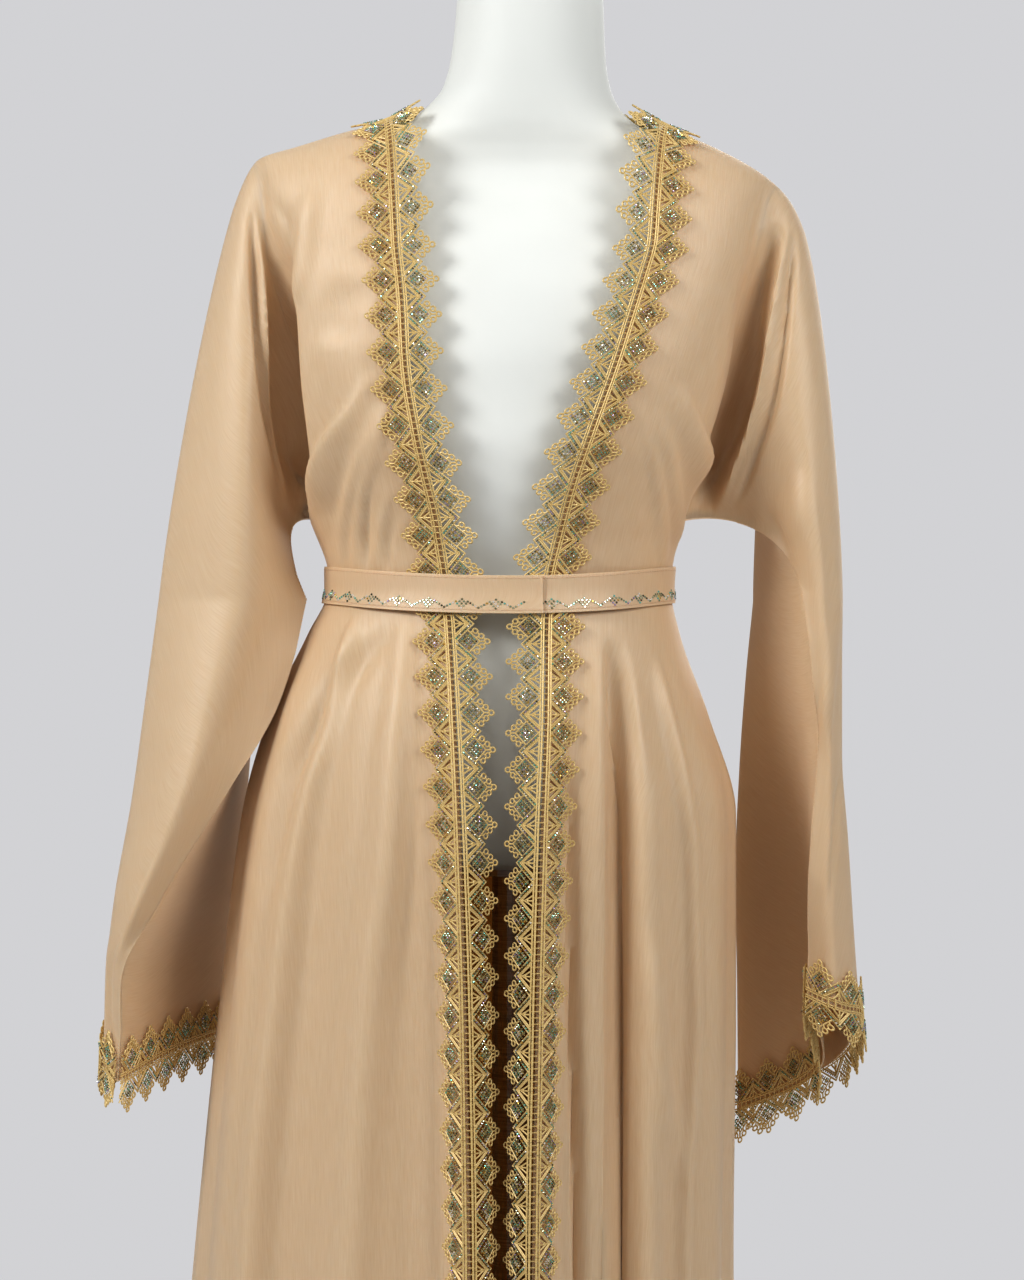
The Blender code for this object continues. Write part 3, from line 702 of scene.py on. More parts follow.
def sewn(*edges):
    """Brings matching edge points of several panels to their common middle."""
    middle = sum(edges) / len(edges)
    for edge in edges:
        edge[:] = middle


across, height = np.meshgrid(np.linspace(-1, 1, BACK_COLUMNS + 1), ROWS)
points = back(across, height)
gathers = [
    ((860, x * 1.5, 14, 14, 0), (960, x * 1.25, 12, 12, push), (1060, x, 7, 7, push),
     (1130, x, 9, 9, push), (1200, x * 1.2, 12, 12, push * 0.5), (1300, x * 1.5, 14, 14, 0))
    for x, push in ((-96, -3), (-78, 3), (-52, -4), (-30, 3), (-6, -4), (16, 3), (44, -4),
                    (66, 3), (88, -3))
]
push = crease_push(gathers, points[..., 0], points[..., 2])
grids = {"back": points - normals_of(points) * push[..., None]}
strength = np.clip((np.arange(ARMHOLE_STEPS + 1) - 8) / 30, 0, 1)
for side in SIDES:
    across, height = np.meshgrid(np.linspace(0, 1, FRONT_COLUMNS + 1), ROWS)
    ahead = front(side, across, height)
    around, down = np.meshgrid(
        np.linspace(0, 1, 2 * ARMHOLE_STEPS + 1), np.linspace(0, 1, SLEEVE_ROWS + 1)
    )
    tube = sleeve(side, around, down)
    behind = grids["back"][:, ::side]
    by_column = tube.transpose(1, 0, 2)
    before, after = by_column[: ARMHOLE_STEPS + 1], by_column[::-1][: ARMHOLE_STEPS + 1]
    soften(ahead[UPPER], before, strength)
    soften(behind[UPPER], after, strength)
    sewn(ahead[-1, -1], behind[-1, -1], tube[0, ARMHOLE_STEPS])
    above_pit = np.clip((height - ARMPIT) / 0.03 + 1, 0, 1)
    ahead = creased(ahead, side, side, np.maximum(above_pit, np.clip((1 - across) * 14, 0, 1)))
    in_front = np.clip((0.60 - around) * 10, 0, 1) * np.clip(around * 30, 0, 1)
    tube[:] = creased(tube, side, -side, in_front)
    girth = lengths_along(tube, 1)
    from_fold = np.minimum(girth, girth[:, -1:] - girth)
    edge_out = unit(tube[:, :1] - (tube[:, 3:4] + tube[:, -4:-3]) / 2)
    near_fold = np.clip(1 - from_fold / FOLD_EDGE_REACH, 0, 1) ** 1.3
    near_fold = near_fold * np.clip((down - 0.32) / 0.16, 0, 1) * np.clip((0.94 - down) / 0.1, 0, 1)
    tube += edge_out * (FOLD_EDGE * near_fold)[..., None]
    sewn(ahead[UPPER][:-1, -1], before[:-1, 0])
    sewn(behind[UPPER][:-1, -1], after[:-1, 0])
    sewn(ahead[-1, -1], behind[-1, -1], tube[0, ARMHOLE_STEPS])
    below = slice(0, len(ROWS) - ARMHOLE_STEPS - 1)
    sewn(ahead[below, -1], behind[below, -1])
    pit = len(ROWS) - ARMHOLE_STEPS - 1
    sewn(ahead[pit, -1], behind[pit, -1], tube[0, 0], tube[0, -1])
    shoulder = side * behind[-1, :, 0] >= side * ahead[-1, 0, 0]
    order = np.argsort(ahead[-1, :, 0])
    for axis in (1, 2):
        line = np.interp(behind[-1, :, 0], ahead[-1, order, 0], ahead[-1, order, axis])
        behind[-1, shoulder, axis] = line[shoulder]
    grids["front_" + SIDE_NAME[side]], grids["sleeve_" + SIDE_NAME[side]] = ahead, tube

cloth = {
    name: panel(
        "cloth_" + name, points,
        turned=name in ("front_right", "back", "sleeve_left"),
        grain_along=not name.startswith("sleeve"),
    )
    for name, points in grids.items()
}
areas = {name: flat_area(points) for name, points in grids.items()}
print({name: round(area, 3) for name, area in areas.items()}, "square metres")


# %% [markdown]
# ## Belt
# A narrow strip of the same cloth, folded double and stitched, goes once round the waist and
# laps over itself in front.

# %% Belt
BELT_WIDTH = 29.0 * MM
BELT_HEIGHT = 1.084
BELT_FRONT_DROP = 9.0 * MM
BELT_EASE = 3.0 * MM
BELT_OVER_LACE = 2.8 * MM
BELT_LAYER = 2.3 * MM
BELT_START, BELT_END = -13.0, 370.0


def waist_point(turn, height, ease):
    side = np.sin(turn)
    width = np.where(side < 0, measure("right", height), measure("left", height)) * MM
    depth = np.where(np.cos(turn) > 0, measure("front", height), measure("back", height)) * MM
    x = (width + ease) * side
    y = np.abs(np.cos(turn)) ** measure("box", height)
    return stack(x, -(depth + ease) * np.sign(np.cos(turn)) * y, height)


def belt(degrees, share):
    """Point of the belt: share runs from -0.5 at its lower edge to 0.5 at its upper edge."""
    turn = np.radians(degrees)
    in_front = np.clip((np.cos(turn) - 0.55) / 0.25, 0, 1)
    lapped = np.clip((degrees - 325) / 15, 0, 1)
    ease = BELT_EASE + BELT_OVER_LACE * in_front + BELT_LAYER * lapped
    middle = BELT_HEIGHT - BELT_FRONT_DROP * np.maximum(np.cos(turn), 0) ** 2
    swell = 0.5 * MM * (1 - (2 * share) ** 6)
    return waist_point(turn, middle + share * BELT_WIDTH, ease + swell - 0.5 * MM)


degrees, share = np.meshgrid(np.linspace(BELT_START, BELT_END, 321), np.linspace(-0.5, 0.5, 13))
belt_points = belt(degrees, share)
cloth["belt"] = panel("cloth_belt", belt_points, wall=1.6 * MM)
areas["belt"] = flat_area(belt_points)
print("belt", round(float(lengths_along(belt_points, 1)[6, -1]), 3), "m long")


# %% [markdown]
# ## One repeat of the lace
# Guipure lace is embroidered on a film that is washed away, so only thick cords are left:
# a ladder down the middle, a diamond at each tooth, a zigzag between the diamonds and small
# rings round the teeth. Crystals are glued on in the diamonds and along the zigzag.
#
# One repeat is modelled flat, from short cords, rings and cut stones, and copied along every
# band, bent to the surface that carries it.

# %% Parts of the lace, laid flat
PITCH = 28.5 * MM
LACE_TIP = 31.5 * MM
HALF = PITCH / 2
CORD_MIDDLE = 1.9 * MM
INNER_RAIL, OUTER_RAIL = 2.0 * MM, 3.7 * MM
DIAMOND_MIDDLE = 13.6
RING_PLACES = ((0, 28.0), (-4.3, 23.7), (4.3, 23.7), (-8.4, 19.4), (8.4, 19.4))


def strip_uvs(item):
    while item.data.uv_layers:
        item.data.uv_layers.remove(item.data.uv_layers[0])


def cord(start, end, radius=0.66 * MM, sides=5):
    """A straight cord laid flat from start to end, each a place along and across the band."""
    (a, b), (c, d) = start, end
    length = math.hypot(c - a, d - b)
    bpy.ops.mesh.primitive_cylinder_add(
        vertices=sides, radius=radius, depth=length + radius,
        location=((a + c) / 2, (b + d) / 2, CORD_MIDDLE),
        rotation=(math.pi / 2, 0, math.atan2(d - b, c - a) + math.pi / 2),
    )
    return bpy.context.object


def ring(place, radius=2.0 * MM, thread=0.74 * MM, steps=9):
    bpy.ops.mesh.primitive_torus_add(
        major_segments=steps, minor_segments=4, major_radius=radius, minor_radius=thread,
        location=(*place, CORD_MIDDLE),
    )
    return bpy.context.object


def stone(place, radius=0.78 * MM):
    """A cut stone: a flat table on sloping sides."""
    bpy.ops.mesh.primitive_cone_add(
        vertices=5, radius1=radius, radius2=radius * 0.55, depth=0.8 * MM,
        location=(*place, CORD_MIDDLE + 0.85 * MM), rotation=(0, 0, place[0] * 900),
    )
    return bpy.context.object


def joined(name, items):
    only(*items)
    bpy.ops.object.join()
    bpy.ops.object.transform_apply(location=True, rotation=True, scale=True)
    made = bpy.context.object
    made.name = made.data.name = name
    strip_uvs(made)
    return made


def lace_side(way):
    """Cords of one half of the band, in millimetres; way is 1 or -1."""
    half = HALF / MM
    lines = []
    for hand in (-1, 1):
        lines += [
            ((5.4, 4.2), (half, 13.0)),
            ((3.4, 4.1), (half, 14.9)),
            ((0.2, 4.5), (half, 18.5)),
            ((0, 22.3), (9.1, 13.3)),
            ((half - 3.8, 4.3), (half - 1.0, 8.2)),
            ((3.2, 19.4), (4.0, 21.9)),
            ((7.3, 15.4), (8.1, 17.4)),
            ((1.4, 26.6), (2.9, 25.1)),
            ((5.7, 22.3), (7.0, 21.0)),
        ]
        lines[-9:] = [((hand * a, b), (hand * c, d)) for (a, b), (c, d) in lines[-9:]]
    lines += [((-half, 4.2), (-half, 13.2)), ((0, 22.3), (0, 25.8))]
    return [((a * MM, way * b * MM), (c * MM, way * d * MM)) for (a, b), (c, d) in lines]


def lace_cords():
    items = []
    for place in (INNER_RAIL, OUTER_RAIL, -INNER_RAIL, -OUTER_RAIL):
        for k in range(3):
            start = -HALF + k * PITCH / 3
            items.append(cord((start, place), (start + PITCH / 3, place), 0.62 * MM))
    for k in range(6):
        place = -HALF + (k + 0.5) * PITCH / 6
        items.append(cord((place, -OUTER_RAIL), (place, OUTER_RAIL), 0.55 * MM, 4))
    for way in (-1, 1):
        items += [cord(*ends) for ends in lace_side(way)]
        items.append(ring((-HALF, way * 8.4 * MM), 1.1 * MM, 0.7 * MM, 6))
        items += [ring((along * MM, way * out * MM)) for along, out in RING_PLACES]
        for slant in (-1, 1):
            for k in (-1.5, 0.0, 1.5):
                middle = (-slant * k * 1.5 * MM, way * (DIAMOND_MIDDLE + k * 1.5) * MM)
                reach = (slant * 3.6 * MM, way * 3.6 * MM)
                start = (middle[0] - reach[0], middle[1] - reach[1])
                end = (middle[0] + reach[0], middle[1] + reach[1])
                items.append(cord(start, end, 0.5 * MM, 3))
    return joined("lace_repeat", items)


def lace_stones():
    places = []
    for way in (-1, 1):
        for i in range(-2, 3):
            for j in range(-2, 3):
                places.append(((i - j) * 1.5, way * (DIAMOND_MIDDLE + (i + j) * 1.5)))
        for hand in (-1, 1):
            for k in range(8):
                along = 2.3 + k * 1.58
                places.append((hand * along, way * (along + 2.4)))
    return joined("stone_repeat", [stone((a * MM, b * MM)) for a, b in places])


lace_unit = lace_cords()
stone_unit = lace_stones()
for item in (lace_unit, stone_unit):
    item.data.calc_loop_triangles()
    print(item.name, len(item.data.loop_triangles), "triangles")


# %% [markdown]
# ## Laying the lace
# A band is a grid of points on the surface that it covers, with its normals: one half lies on
# the cloth and the other hangs free past the edge. Each copy of the repeat takes its place
# along the band from the grid, across the band from its own width, and its height from the
# normal. The stones also get a slight tilt each, because no two are glued alike, and a number
# that picks their colour: one of six foils, a painted glint or a painted dark reflection.

# %% Bands of lace
LACE_LIFT = 1.0 * MM
CUFF_LAP = 2.6 * MM
BAND_HALF = np.linspace(-LACE_TIP, LACE_TIP, 19)


def mesh_data(item):
    mesh = item.data
    co = np.empty(len(mesh.vertices) * 3)
    mesh.vertices.foreach_get("co", co)
    faces = [tuple(face.vertices) for face in mesh.polygons]
    return co.reshape(-1, 3), faces


def parts_of(points, faces):
    """Numbers each vertex by the loose part that it belongs to."""
    label = np.arange(len(points))
    for _ in range(8):
        for face in faces:
            label[list(face)] = label[list(face)].min()
    return np.unique(label, return_inverse=True)[1]


def grid_value(grid, row, column):
    """Value of a grid between its points."""
    i = np.clip(np.floor(row).astype(int), 0, grid.shape[0] - 2)
    j = np.clip(np.floor(column).astype(int), 0, grid.shape[1] - 2)
    a, b = (row - i)[..., None], (column - j)[..., None]
    return (
        grid[i, j] * (1 - a) * (1 - b) + grid[i + 1, j] * a * (1 - b)
        + grid[i, j + 1] * (1 - a) * b + grid[i + 1, j + 1] * a * b
    )


def lay(name, unit_mesh, band, outward, stones=False):
    """Copies one repeat along a band of points, bent to it."""
    local, faces = mesh_data(unit_mesh)
    middle = band[:, band.shape[1] // 2]
    arc = np.concatenate([[0], np.cumsum(np.linalg.norm(np.diff(middle, axis=0), axis=1))])
    repeats = max(2, round(arc[-1] / PITCH))
    along = (np.arange(repeats)[:, None] + 0.5 + local[None, :, 0] / PITCH) / repeats * arc[-1]
    row = np.interp(along, arc, np.arange(len(arc)))
    width = BAND_HALF[-1] - BAND_HALF[0]
    column = (local[None, :, 1] - BAND_HALF[0]) / width * (band.shape[1] - 1)
    column = np.broadcast_to(column, row.shape)
    lift = np.broadcast_to(local[None, :, 2], row.shape).copy()
    if stones:
        part = parts_of(local, faces)
        count = part.max() + 1
        tilt = rng.normal(0, 0.16, (repeats, count, 2))
        centre = np.array([local[part == k, :2].mean(axis=0) for k in range(count)])
        away = local[:, :2] - centre[part]
        lift += (tilt[:, part] * away[None]).sum(axis=-1)
    normal = outward * normals_of(band)
    above = grid_value(normal, row, column) * (lift + LACE_LIFT)[..., None]
    place = grid_value(band, row, column) + above
    made = bpy.data.objects.new(name, bpy.data.meshes.new(name))
    bpy.context.scene.collection.objects.link(made)
    every = [tuple(i + k * len(local) for i in face) for k in range(repeats) for face in faces]
    made.data.from_pydata(place.reshape(-1, 3).tolist(), [], every)
    if stones:
        # each stone's number picks its colour in the crystal finish: a foil, a painted glint or a
        # painted dark reflection
        tint = rng.random((repeats, count))[:, part]
        layer = made.data.attributes.new("tint", "FLOAT", "POINT")
        layer.data.foreach_set("value", tint.astype(np.float32).ravel())
    only(made)
    edit((bpy.ops.mesh.normals_make_consistent, {"inside": False}))
    if stones:
        bpy.ops.object.shade_flat()
    else:
        bpy.ops.object.shade_smooth_by_angle(angle=math.radians(50))
    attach(made, "root")
    return made, repeats


def across_at(side, height, lengths):
    """Where lengths of cloth from a front's free edge fall across it."""
    places = np.linspace(-0.40, 1, 281)
    line = front(side, places, np.full_like(places, height))
    arc = np.concatenate([[0], np.cumsum(np.linalg.norm(np.diff(line, axis=0), axis=1))])
    return np.interp(lengths, arc - np.interp(0, places, arc), places)


def front_band(side):
    """Across the band, the free half comes first."""
    rows = np.linspace(HEM, TOP, 290)
    across = np.array([across_at(side, height, BAND_HALF) for height in rows])
    return front(side, across, np.repeat(rows[:, None], across.shape[1], axis=1))


def neck_band():
    """The free half stands up round the neck and leans towards it."""
    corners = [side * math.asin(NECK_EDGE[side] / SHOULDER_TIP[side]) * 2 / math.pi for side in SIDES]
    rows = []
    for place in np.linspace(*corners, 90):
        fall = np.linspace(TOP, YOKE, 60)
        column = back(np.full_like(fall, place), fall)
        arc = np.concatenate([[0], np.cumsum(np.linalg.norm(np.diff(column, axis=0), axis=1))])
        down = np.interp(BAND_HALF[BAND_HALF >= -1e-9], arc, fall)
        skin = back(np.full_like(down, place), down)
        inward = unit(np.array([NECK_CENTRE - skin[0][0], -skin[0][1], 0]))
        lean = math.radians(30 + 26 * skin[0][1] / NECK_BACK_DEPTH)
        rise = inward * math.cos(lean) + np.array([0, 0, math.sin(lean)])
        free = [skin[0] + rise * -length for length in BAND_HALF[BAND_HALF < -1e-9]]
        rows.append(np.concatenate([free, skin]))
    return np.array(rows)


def cuff_band(side):
    rows = []
    for place in np.linspace(0, 1, 121):
        climb = np.linspace(1 - 2e-4, 0.85, 60)
        column = sleeve(side, np.full_like(climb, place), climb)
        arc = np.concatenate([[0], np.cumsum(np.linalg.norm(np.diff(column, axis=0), axis=1))])
        up = np.interp(BAND_HALF[BAND_HALF >= -1e-9] + CUFF_LAP, arc, climb)
        skin = sleeve(side, np.full_like(up, place), up)
        fall = unit(skin[0] - skin[2])
        free = [skin[0] + fall * -length for length in BAND_HALF[BAND_HALF < -1e-9]]
        rows.append(np.concatenate([free, skin]))
    return np.array(rows)


bands = {"neck": (neck_band(), 1)}
for side in SIDES:
    bands["front_" + SIDE_NAME[side]] = (front_band(side), side)
    bands["cuff_" + SIDE_NAME[side]] = (cuff_band(side), -side)

lace, stones = {}, {}
for name, (band, outward) in bands.items():
    lace[name], repeats = lay("guipure_" + name, lace_unit, band, outward)
    stones[name], _ = lay("crystals_" + name, stone_unit, band, outward, stones=True)
    print("lace", name, repeats, "repeats")

only(lace_unit, stone_unit)
bpy.ops.object.delete()


# %% [markdown]
# ### Stones on the belt
# The belt carries small stones in diamonds joined by a zigzag of single stones, glued near its
# lower edge. They take their places from the belt's own length, so the motif never stretches.

# %% Belt stones
def dots(name, mesh_of_one, places, normals, tints=None, along=None):
    """Copies one small mesh to each place, turned to its normal, as one piece."""
    local, faces = mesh_of_one
    up = unit(normals)
    along = unit(np.cross([[0, 0, 1]], up) if along is None else along)
    high = np.cross(up, along)
    points = (
        places[:, None] + local[None, :, :1] * along[:, None]
        + local[None, :, 1:2] * high[:, None] + local[None, :, 2:] * up[:, None]
    )
    every = [tuple(i + k * len(local) for i in face) for k in range(len(places)) for face in faces]
    made = bpy.data.objects.new(name, bpy.data.meshes.new(name))
    bpy.context.scene.collection.objects.link(made)
    made.data.from_pydata(points.reshape(-1, 3).tolist(), [], every)
    if tints is not None:
        layer = made.data.attributes.new("tint", "FLOAT", "POINT")
        layer.data.foreach_set("value", np.repeat(tints, len(local)).astype(np.float32))
    only(made)
    edit((bpy.ops.mesh.normals_make_consistent, {"inside": False}))
    bpy.ops.object.shade_flat()
    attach(made, "root")
    return made


belt_arc = lengths_along(belt_points, 1)[6]
degrees_at = np.linspace(BELT_START, BELT_END, len(belt_arc))
MOTIF = 26.0 * MM
GRID_STEP = 1.7 * MM
DIAMOND_DROP = -7.6 * MM
spots = []
for k in range(int(belt_arc[-1] / MOTIF)):
    start = (k + 0.5) * MOTIF
    for i in range(3):
        for j in range(3):
            spots.append((start + (i - j) * GRID_STEP, DIAMOND_DROP + (i + j - 2) * GRID_STEP))
    for i in range(9):
        along = start + (4.6 + i * 2.1) * MM
        spots.append((along, (-10.6 + 4.6 * abs(i - 4) / 4) * MM))
spots = np.array([spot for spot in spots if spot[0] < belt_arc[-1] - 4 * MM])
angle = np.interp(spots[:, 0], belt_arc, degrees_at)
ahead_of = belt(angle + 0.4, spots[:, 1] / BELT_WIDTH)
here = belt(angle, spots[:, 1] / BELT_WIDTH)
above = belt(angle, spots[:, 1] / BELT_WIDTH + 0.03)
outward = unit(np.cross(ahead_of - here, above - here))
bpy.ops.object.select_all(action="DESELECT")
one = mesh_data(joined("belt_stone", [stone((0, 0), 0.98 * MM)]))
one[0][:, 2] -= CORD_MIDDLE + 0.45 * MM
# each belt stone's number picks its crystal colour, with painted glints and painted dark reflections
# among them
crystals_belt = dots("crystals_belt", one, here, outward, rng.random(len(here)))
only(bpy.data.objects["belt_stone"])
bpy.ops.object.delete()
print("belt", len(here), "stones")


# %% [markdown]
# ### Stitching
# The belt is closed by a row of stitches near each edge, the hem is turned up and stitched, and
# each sleeve is closed along its front fold. A stitch is a short piece of thread that lies
# along its row, modelled once and copied at even steps.

# %% Stitching
STITCH, STITCH_STEP = 2.3 * MM, 3.1 * MM
HEM_ROW = int(np.searchsorted(ROWS, HEM + 0.022))


def stitched_row(line, normals):
    """Places and normals at even steps along a line of points."""
    arc = lengths_along(line[None], 1)[0]
    steps = np.arange(STITCH_STEP, arc[-1] - STITCH_STEP, STITCH_STEP)
    spread = [np.stack([np.interp(steps, arc, part[:, k]) for k in range(3)], axis=-1)
              for part in (line, normals)]
    return spread[0], unit(spread[1])


bpy.ops.object.select_all(action="DESELECT")
bpy.ops.mesh.primitive_cylinder_add(
    vertices=5, radius=0.28 * MM, depth=STITCH, rotation=(0, math.pi / 2, 0)
)
bpy.ops.object.transform_apply(location=True, rotation=True, scale=True)
stitch = bpy.context.object
strip_uvs(stitch)
one = mesh_data(stitch)
rows = {"belt": [], "hem": []}
belt_normals = normals_of(belt_points)
for row in (1, 11):
    rows["belt"].append(stitched_row(belt_points[row], belt_normals[row]))
for name, facing in (("front_right", RIGHT), ("front_left", LEFT), ("back", -1)):
    face = facing * normals_of(grids[name])[HEM_ROW]
    rows["hem"].append(stitched_row(grids[name][HEM_ROW], face))
stitching = {}
for name, parts in rows.items():
    places, normals = (np.concatenate([part[k] for part in parts]) for k in (0, 1))
    stitching[name] = dots("stitches_" + name, one, places + normals * 0.1 * MM, normals)
    print("stitches", name, len(places))
places, normals, along = [], [], []
for side in SIDES:
    tube = grids["sleeve_" + SIDE_NAME[side]]
    facing = -side * (normals_of(tube)[:, 0] + normals_of(tube)[:, -1])
    line = slice(int(0.12 * SLEEVE_ROWS), int(0.93 * SLEEVE_ROWS))
    spots, out = stitched_row(tube[line, 0], unit(facing[line]))
    places.append(spots + out * 0.15 * MM)
    normals.append(out)
    along.append(np.gradient(spots, axis=0))
stitching["sleeves"] = dots(
    "stitches_sleeves", one, *(np.concatenate(part) for part in (places, normals)),
    along=np.concatenate(along),
)
only(stitch)
bpy.ops.object.delete()


# %% [markdown]
# ## Dress form and stand
# The form is fibreglass from a mould: one smooth closed surface with no seams that show. Its
# measured sections are few, so a curve is run through them and the surface swept again with
# many more. The pole and base keep the measured shapes.

# %% Dress form
FORM = table(
    "height right left front back",
    (862, 128, 124, 84, 92),
    (866, 146, 141, 96, 104),
    (880, 156, 150, 103, 111),
    (920, 160, 151, 107, 114),
    (980, 150, 138, 103, 108),
    (1045, 128, 120, 94, 96),
    (1081, 121, 114, 89, 90),
    (1115, 124, 118, 92, 91),
    (1160, 136, 128, 102, 95),
    (1200, 146, 138, 109, 99),
    (1250, 154, 148, 109, 102),
    (1300, 160, 158, 100, 102),
    (1345, 166, 167, 84, 96),
    (1380, 174, 176, 66, 84),
    (1400, 182, 183, 54, 76),
    (1416, 182, 168, 50, 71),
    (1428, 158, 146, 51, 67.4),
    (1438, 131, 126, 53, 64.4),
    (1449, 90, 103, 55, 62),
    (1462, 72, 88, 56, 62),
    (1480, 56, 79, 56.5, 62),
    (1504, 49, 75, 57, 61),
    (1552, 44, 73, 58, 59),
    (1578, 43, 72, 58, 58),
)


def form_points(turn, height):
    size = {name: curve(height / MM, FORM["height"], FORM[name]) for name in FORM}
    width = np.where(np.sin(turn) < 0, size["right"], size["left"])
    depth = np.where(np.cos(turn) > 0, size["front"], size["back"])
    return stack(width * np.sin(turn), -depth * np.cos(turn), height / MM) * MM


steps = np.arange(len(FORM["height"]))
fine = np.linspace(0, steps[-1], 5 * steps[-1] + 1)
turn, height = np.meshgrid(
    np.linspace(0, 2 * math.pi, 97), np.interp(fine, steps, FORM["height"]) * MM
)
bpy.ops.object.select_all(action="DESELECT")
points = form_points(turn, height)
bpy.ops.mesh.primitive_grid_add(
    x_subdivisions=points.shape[1] - 1, y_subdivisions=points.shape[0] - 1, size=1
)
form = bpy.context.object
form.name = form.data.name = "dress_form"
flat = np.array([vertex.co[:2] for vertex in form.data.vertices]) + 0.5
flat = np.rint(flat * (points.shape[1] - 1, points.shape[0] - 1)).astype(int)
form.data.vertices.foreach_set("co", points[flat[:, 1], flat[:, 0]].ravel())
edit(
    (bpy.ops.mesh.remove_doubles, {"threshold": 1e-6}),
    (bpy.ops.mesh.fill_holes, {"sides": 200}),
    (bpy.ops.mesh.normals_make_consistent, {"inside": False}),
)
bpy.ops.object.shade_smooth_by_angle(angle=math.radians(40))
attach(form, "root")
print("form", len(form.data.polygons), "faces")


# %% [markdown]
# ## Materials
# Each finish starts from its real process. Colours are read as sRGB and turned to linear once.

# %% Tools for materials
def colour(code):
    parts = [int(code[i : i + 2], 16) / 255 for i in (1, 3, 5)]
    linear = [c / 12.92 if c <= 0.04045 else ((c + 0.055) / 1.055) ** 2.4 for c in parts]
    return (*linear, 1.0)


def finish(name, **settings):
    made = bpy.data.materials.new(name)
    made.use_nodes = True
    shader = made.node_tree.nodes["Principled BSDF"]
    for socket, value in settings.items():
        shader.inputs[socket.replace("_", " ")].default_value = value
    return made, made.node_tree, shader


def node(tree, kind, links=(), **settings):
    """Adds a node. links pairs this node's inputs with other nodes' outputs."""
    made = tree.nodes.new(kind)
    for key, value in settings.items():
        if key in made.bl_rna.properties:
            setattr(made, key, value)
        else:
            made.inputs[key].default_value = value
    for socket, source in links:
        tree.links.new(source, made.inputs[socket])
    return made


def ramp(tree, source, *stops):
    made = node(tree, "ShaderNodeValToRGB", [("Fac", source)])
    elements = made.color_ramp.elements
    while len(elements) < len(stops):
        elements.new(0.5)
    for element, (place, shade) in zip(elements, stops):
        element.position = place
        element.color = shade
    return made


print("middle grey #808080 is", round(colour("#808080")[0], 3), "in linear light")


# %% [markdown]
# ### Satin-back crepe
# Polyester crepe is woven from hard-twisted yarn, so its face is finely pebbled, and it has
# faint crinkles along the warp, coloured a little darker in their troughs as painted shade. It
# is matt with a soft sheen where it turns away.

# %% Satin-back crepe
def crepe(name, shade, painted_crinkle_shade):
    made, tree, shader = finish(
        name, Roughness=0.51, Sheen_Weight=0.35, Sheen_Roughness=0.5, Specular_IOR_Level=0.58,
        Subsurface_Weight=0.5, Subsurface_Scale=5 * MM,
        Subsurface_Radius=(1.0, 0.75, 0.55)
    )
    place = node(tree, "ShaderNodeUVMap")
    streak = node(tree, "ShaderNodeMapping", [("Vector", place.outputs["UV"])], Scale=(900, 45, 1))
    crinkle_and_shade = node(
        tree, "ShaderNodeTexNoise", [("Vector", streak.outputs["Vector"])], Scale=1.0, Detail=3.0
    )
    grain = node(
        tree, "ShaderNodeMapping", [("Vector", place.outputs["UV"])], Scale=(1600, 1100, 1)
    )
    pebble = node(
        tree, "ShaderNodeTexNoise", [("Vector", grain.outputs["Vector"])], Scale=1.0, Detail=2.0
    )
    # painted shade: the cloth is coloured darker where the crinkle noise, which is also the bump's
    # height, is low
    tone = ramp(tree, crinkle_and_shade.outputs["Fac"], (0.25, painted_crinkle_shade), (0.75, shade))
    tree.links.new(tone.outputs["Color"], shader.inputs["Base Color"])
    low = node(
        tree, "ShaderNodeBump", [("Height", crinkle_and_shade.outputs["Fac"])], Strength=0.35, Distance=0.4 * MM
    )
    fine_bump = node(
        tree, "ShaderNodeBump",
        [("Height", pebble.outputs["Fac"]), ("Normal", low.outputs["Normal"])],
        Strength=0.25, Distance=0.15 * MM,
    )
    tree.links.new(fine_bump.outputs["Normal"], shader.inputs["Normal"])
    return made


# the second colour is the painted shade in the crinkles' troughs
crepe_cloth = crepe("satin_back_crepe", colour("#DFC4A6"), colour("#D7B997"))
shader = crepe_cloth.node_tree.nodes["Principled BSDF"]
shader.inputs["Sheen Tint"].default_value = colour("#FFE9CF")
print(crepe_cloth.name, len(crepe_cloth.node_tree.nodes), "nodes")


# %% [markdown]
# ### Gold embroidery thread
# Guipure cords are viscose thread stitched over and over. The smooth fibre gives them a soft
# lustre, and the twist breaks it into light and dark spots. Noise with spots of about 0.7 mm
# roughens the thread and paints those spots into its colour: the middle gold is the thread's
# own colour, the pale gold a painted highlight and the deep gold a painted shade. The spots
# are coarser than the real twist, which wouldn't show.

# %% Gold embroidery thread
def gold_thread():
    made, tree, shader = finish(
        "viscose_embroidery_thread", Roughness=0.42, Metallic=0.15, Sheen_Weight=0.15
    )
    place = node(tree, "ShaderNodeTexCoord")
    twist_and_sheen = node(
        tree, "ShaderNodeTexNoise", [("Vector", place.outputs["Object"])], Scale=1500.0, Detail=2.0
    )
    # the pale gold stop is a painted highlight and the deep gold stop a painted shade, both on the
    # bump's own noise
    tone = ramp(
        tree, twist_and_sheen.outputs["Fac"], (0.30, colour("#CBAC6C")), (0.55, colour("#E2C98E")),
        (0.80, colour("#F2E1B6")),
    )
    tree.links.new(tone.outputs["Color"], shader.inputs["Base Color"])
    bump = node(
        tree, "ShaderNodeBump", [("Height", twist_and_sheen.outputs["Fac"])], Strength=0.5, Distance=0.2 * MM
    )
    tree.links.new(bump.outputs["Normal"], shader.inputs["Normal"])
    return made


thread = gold_thread()
print(thread.name, len(thread.node_tree.nodes), "nodes")


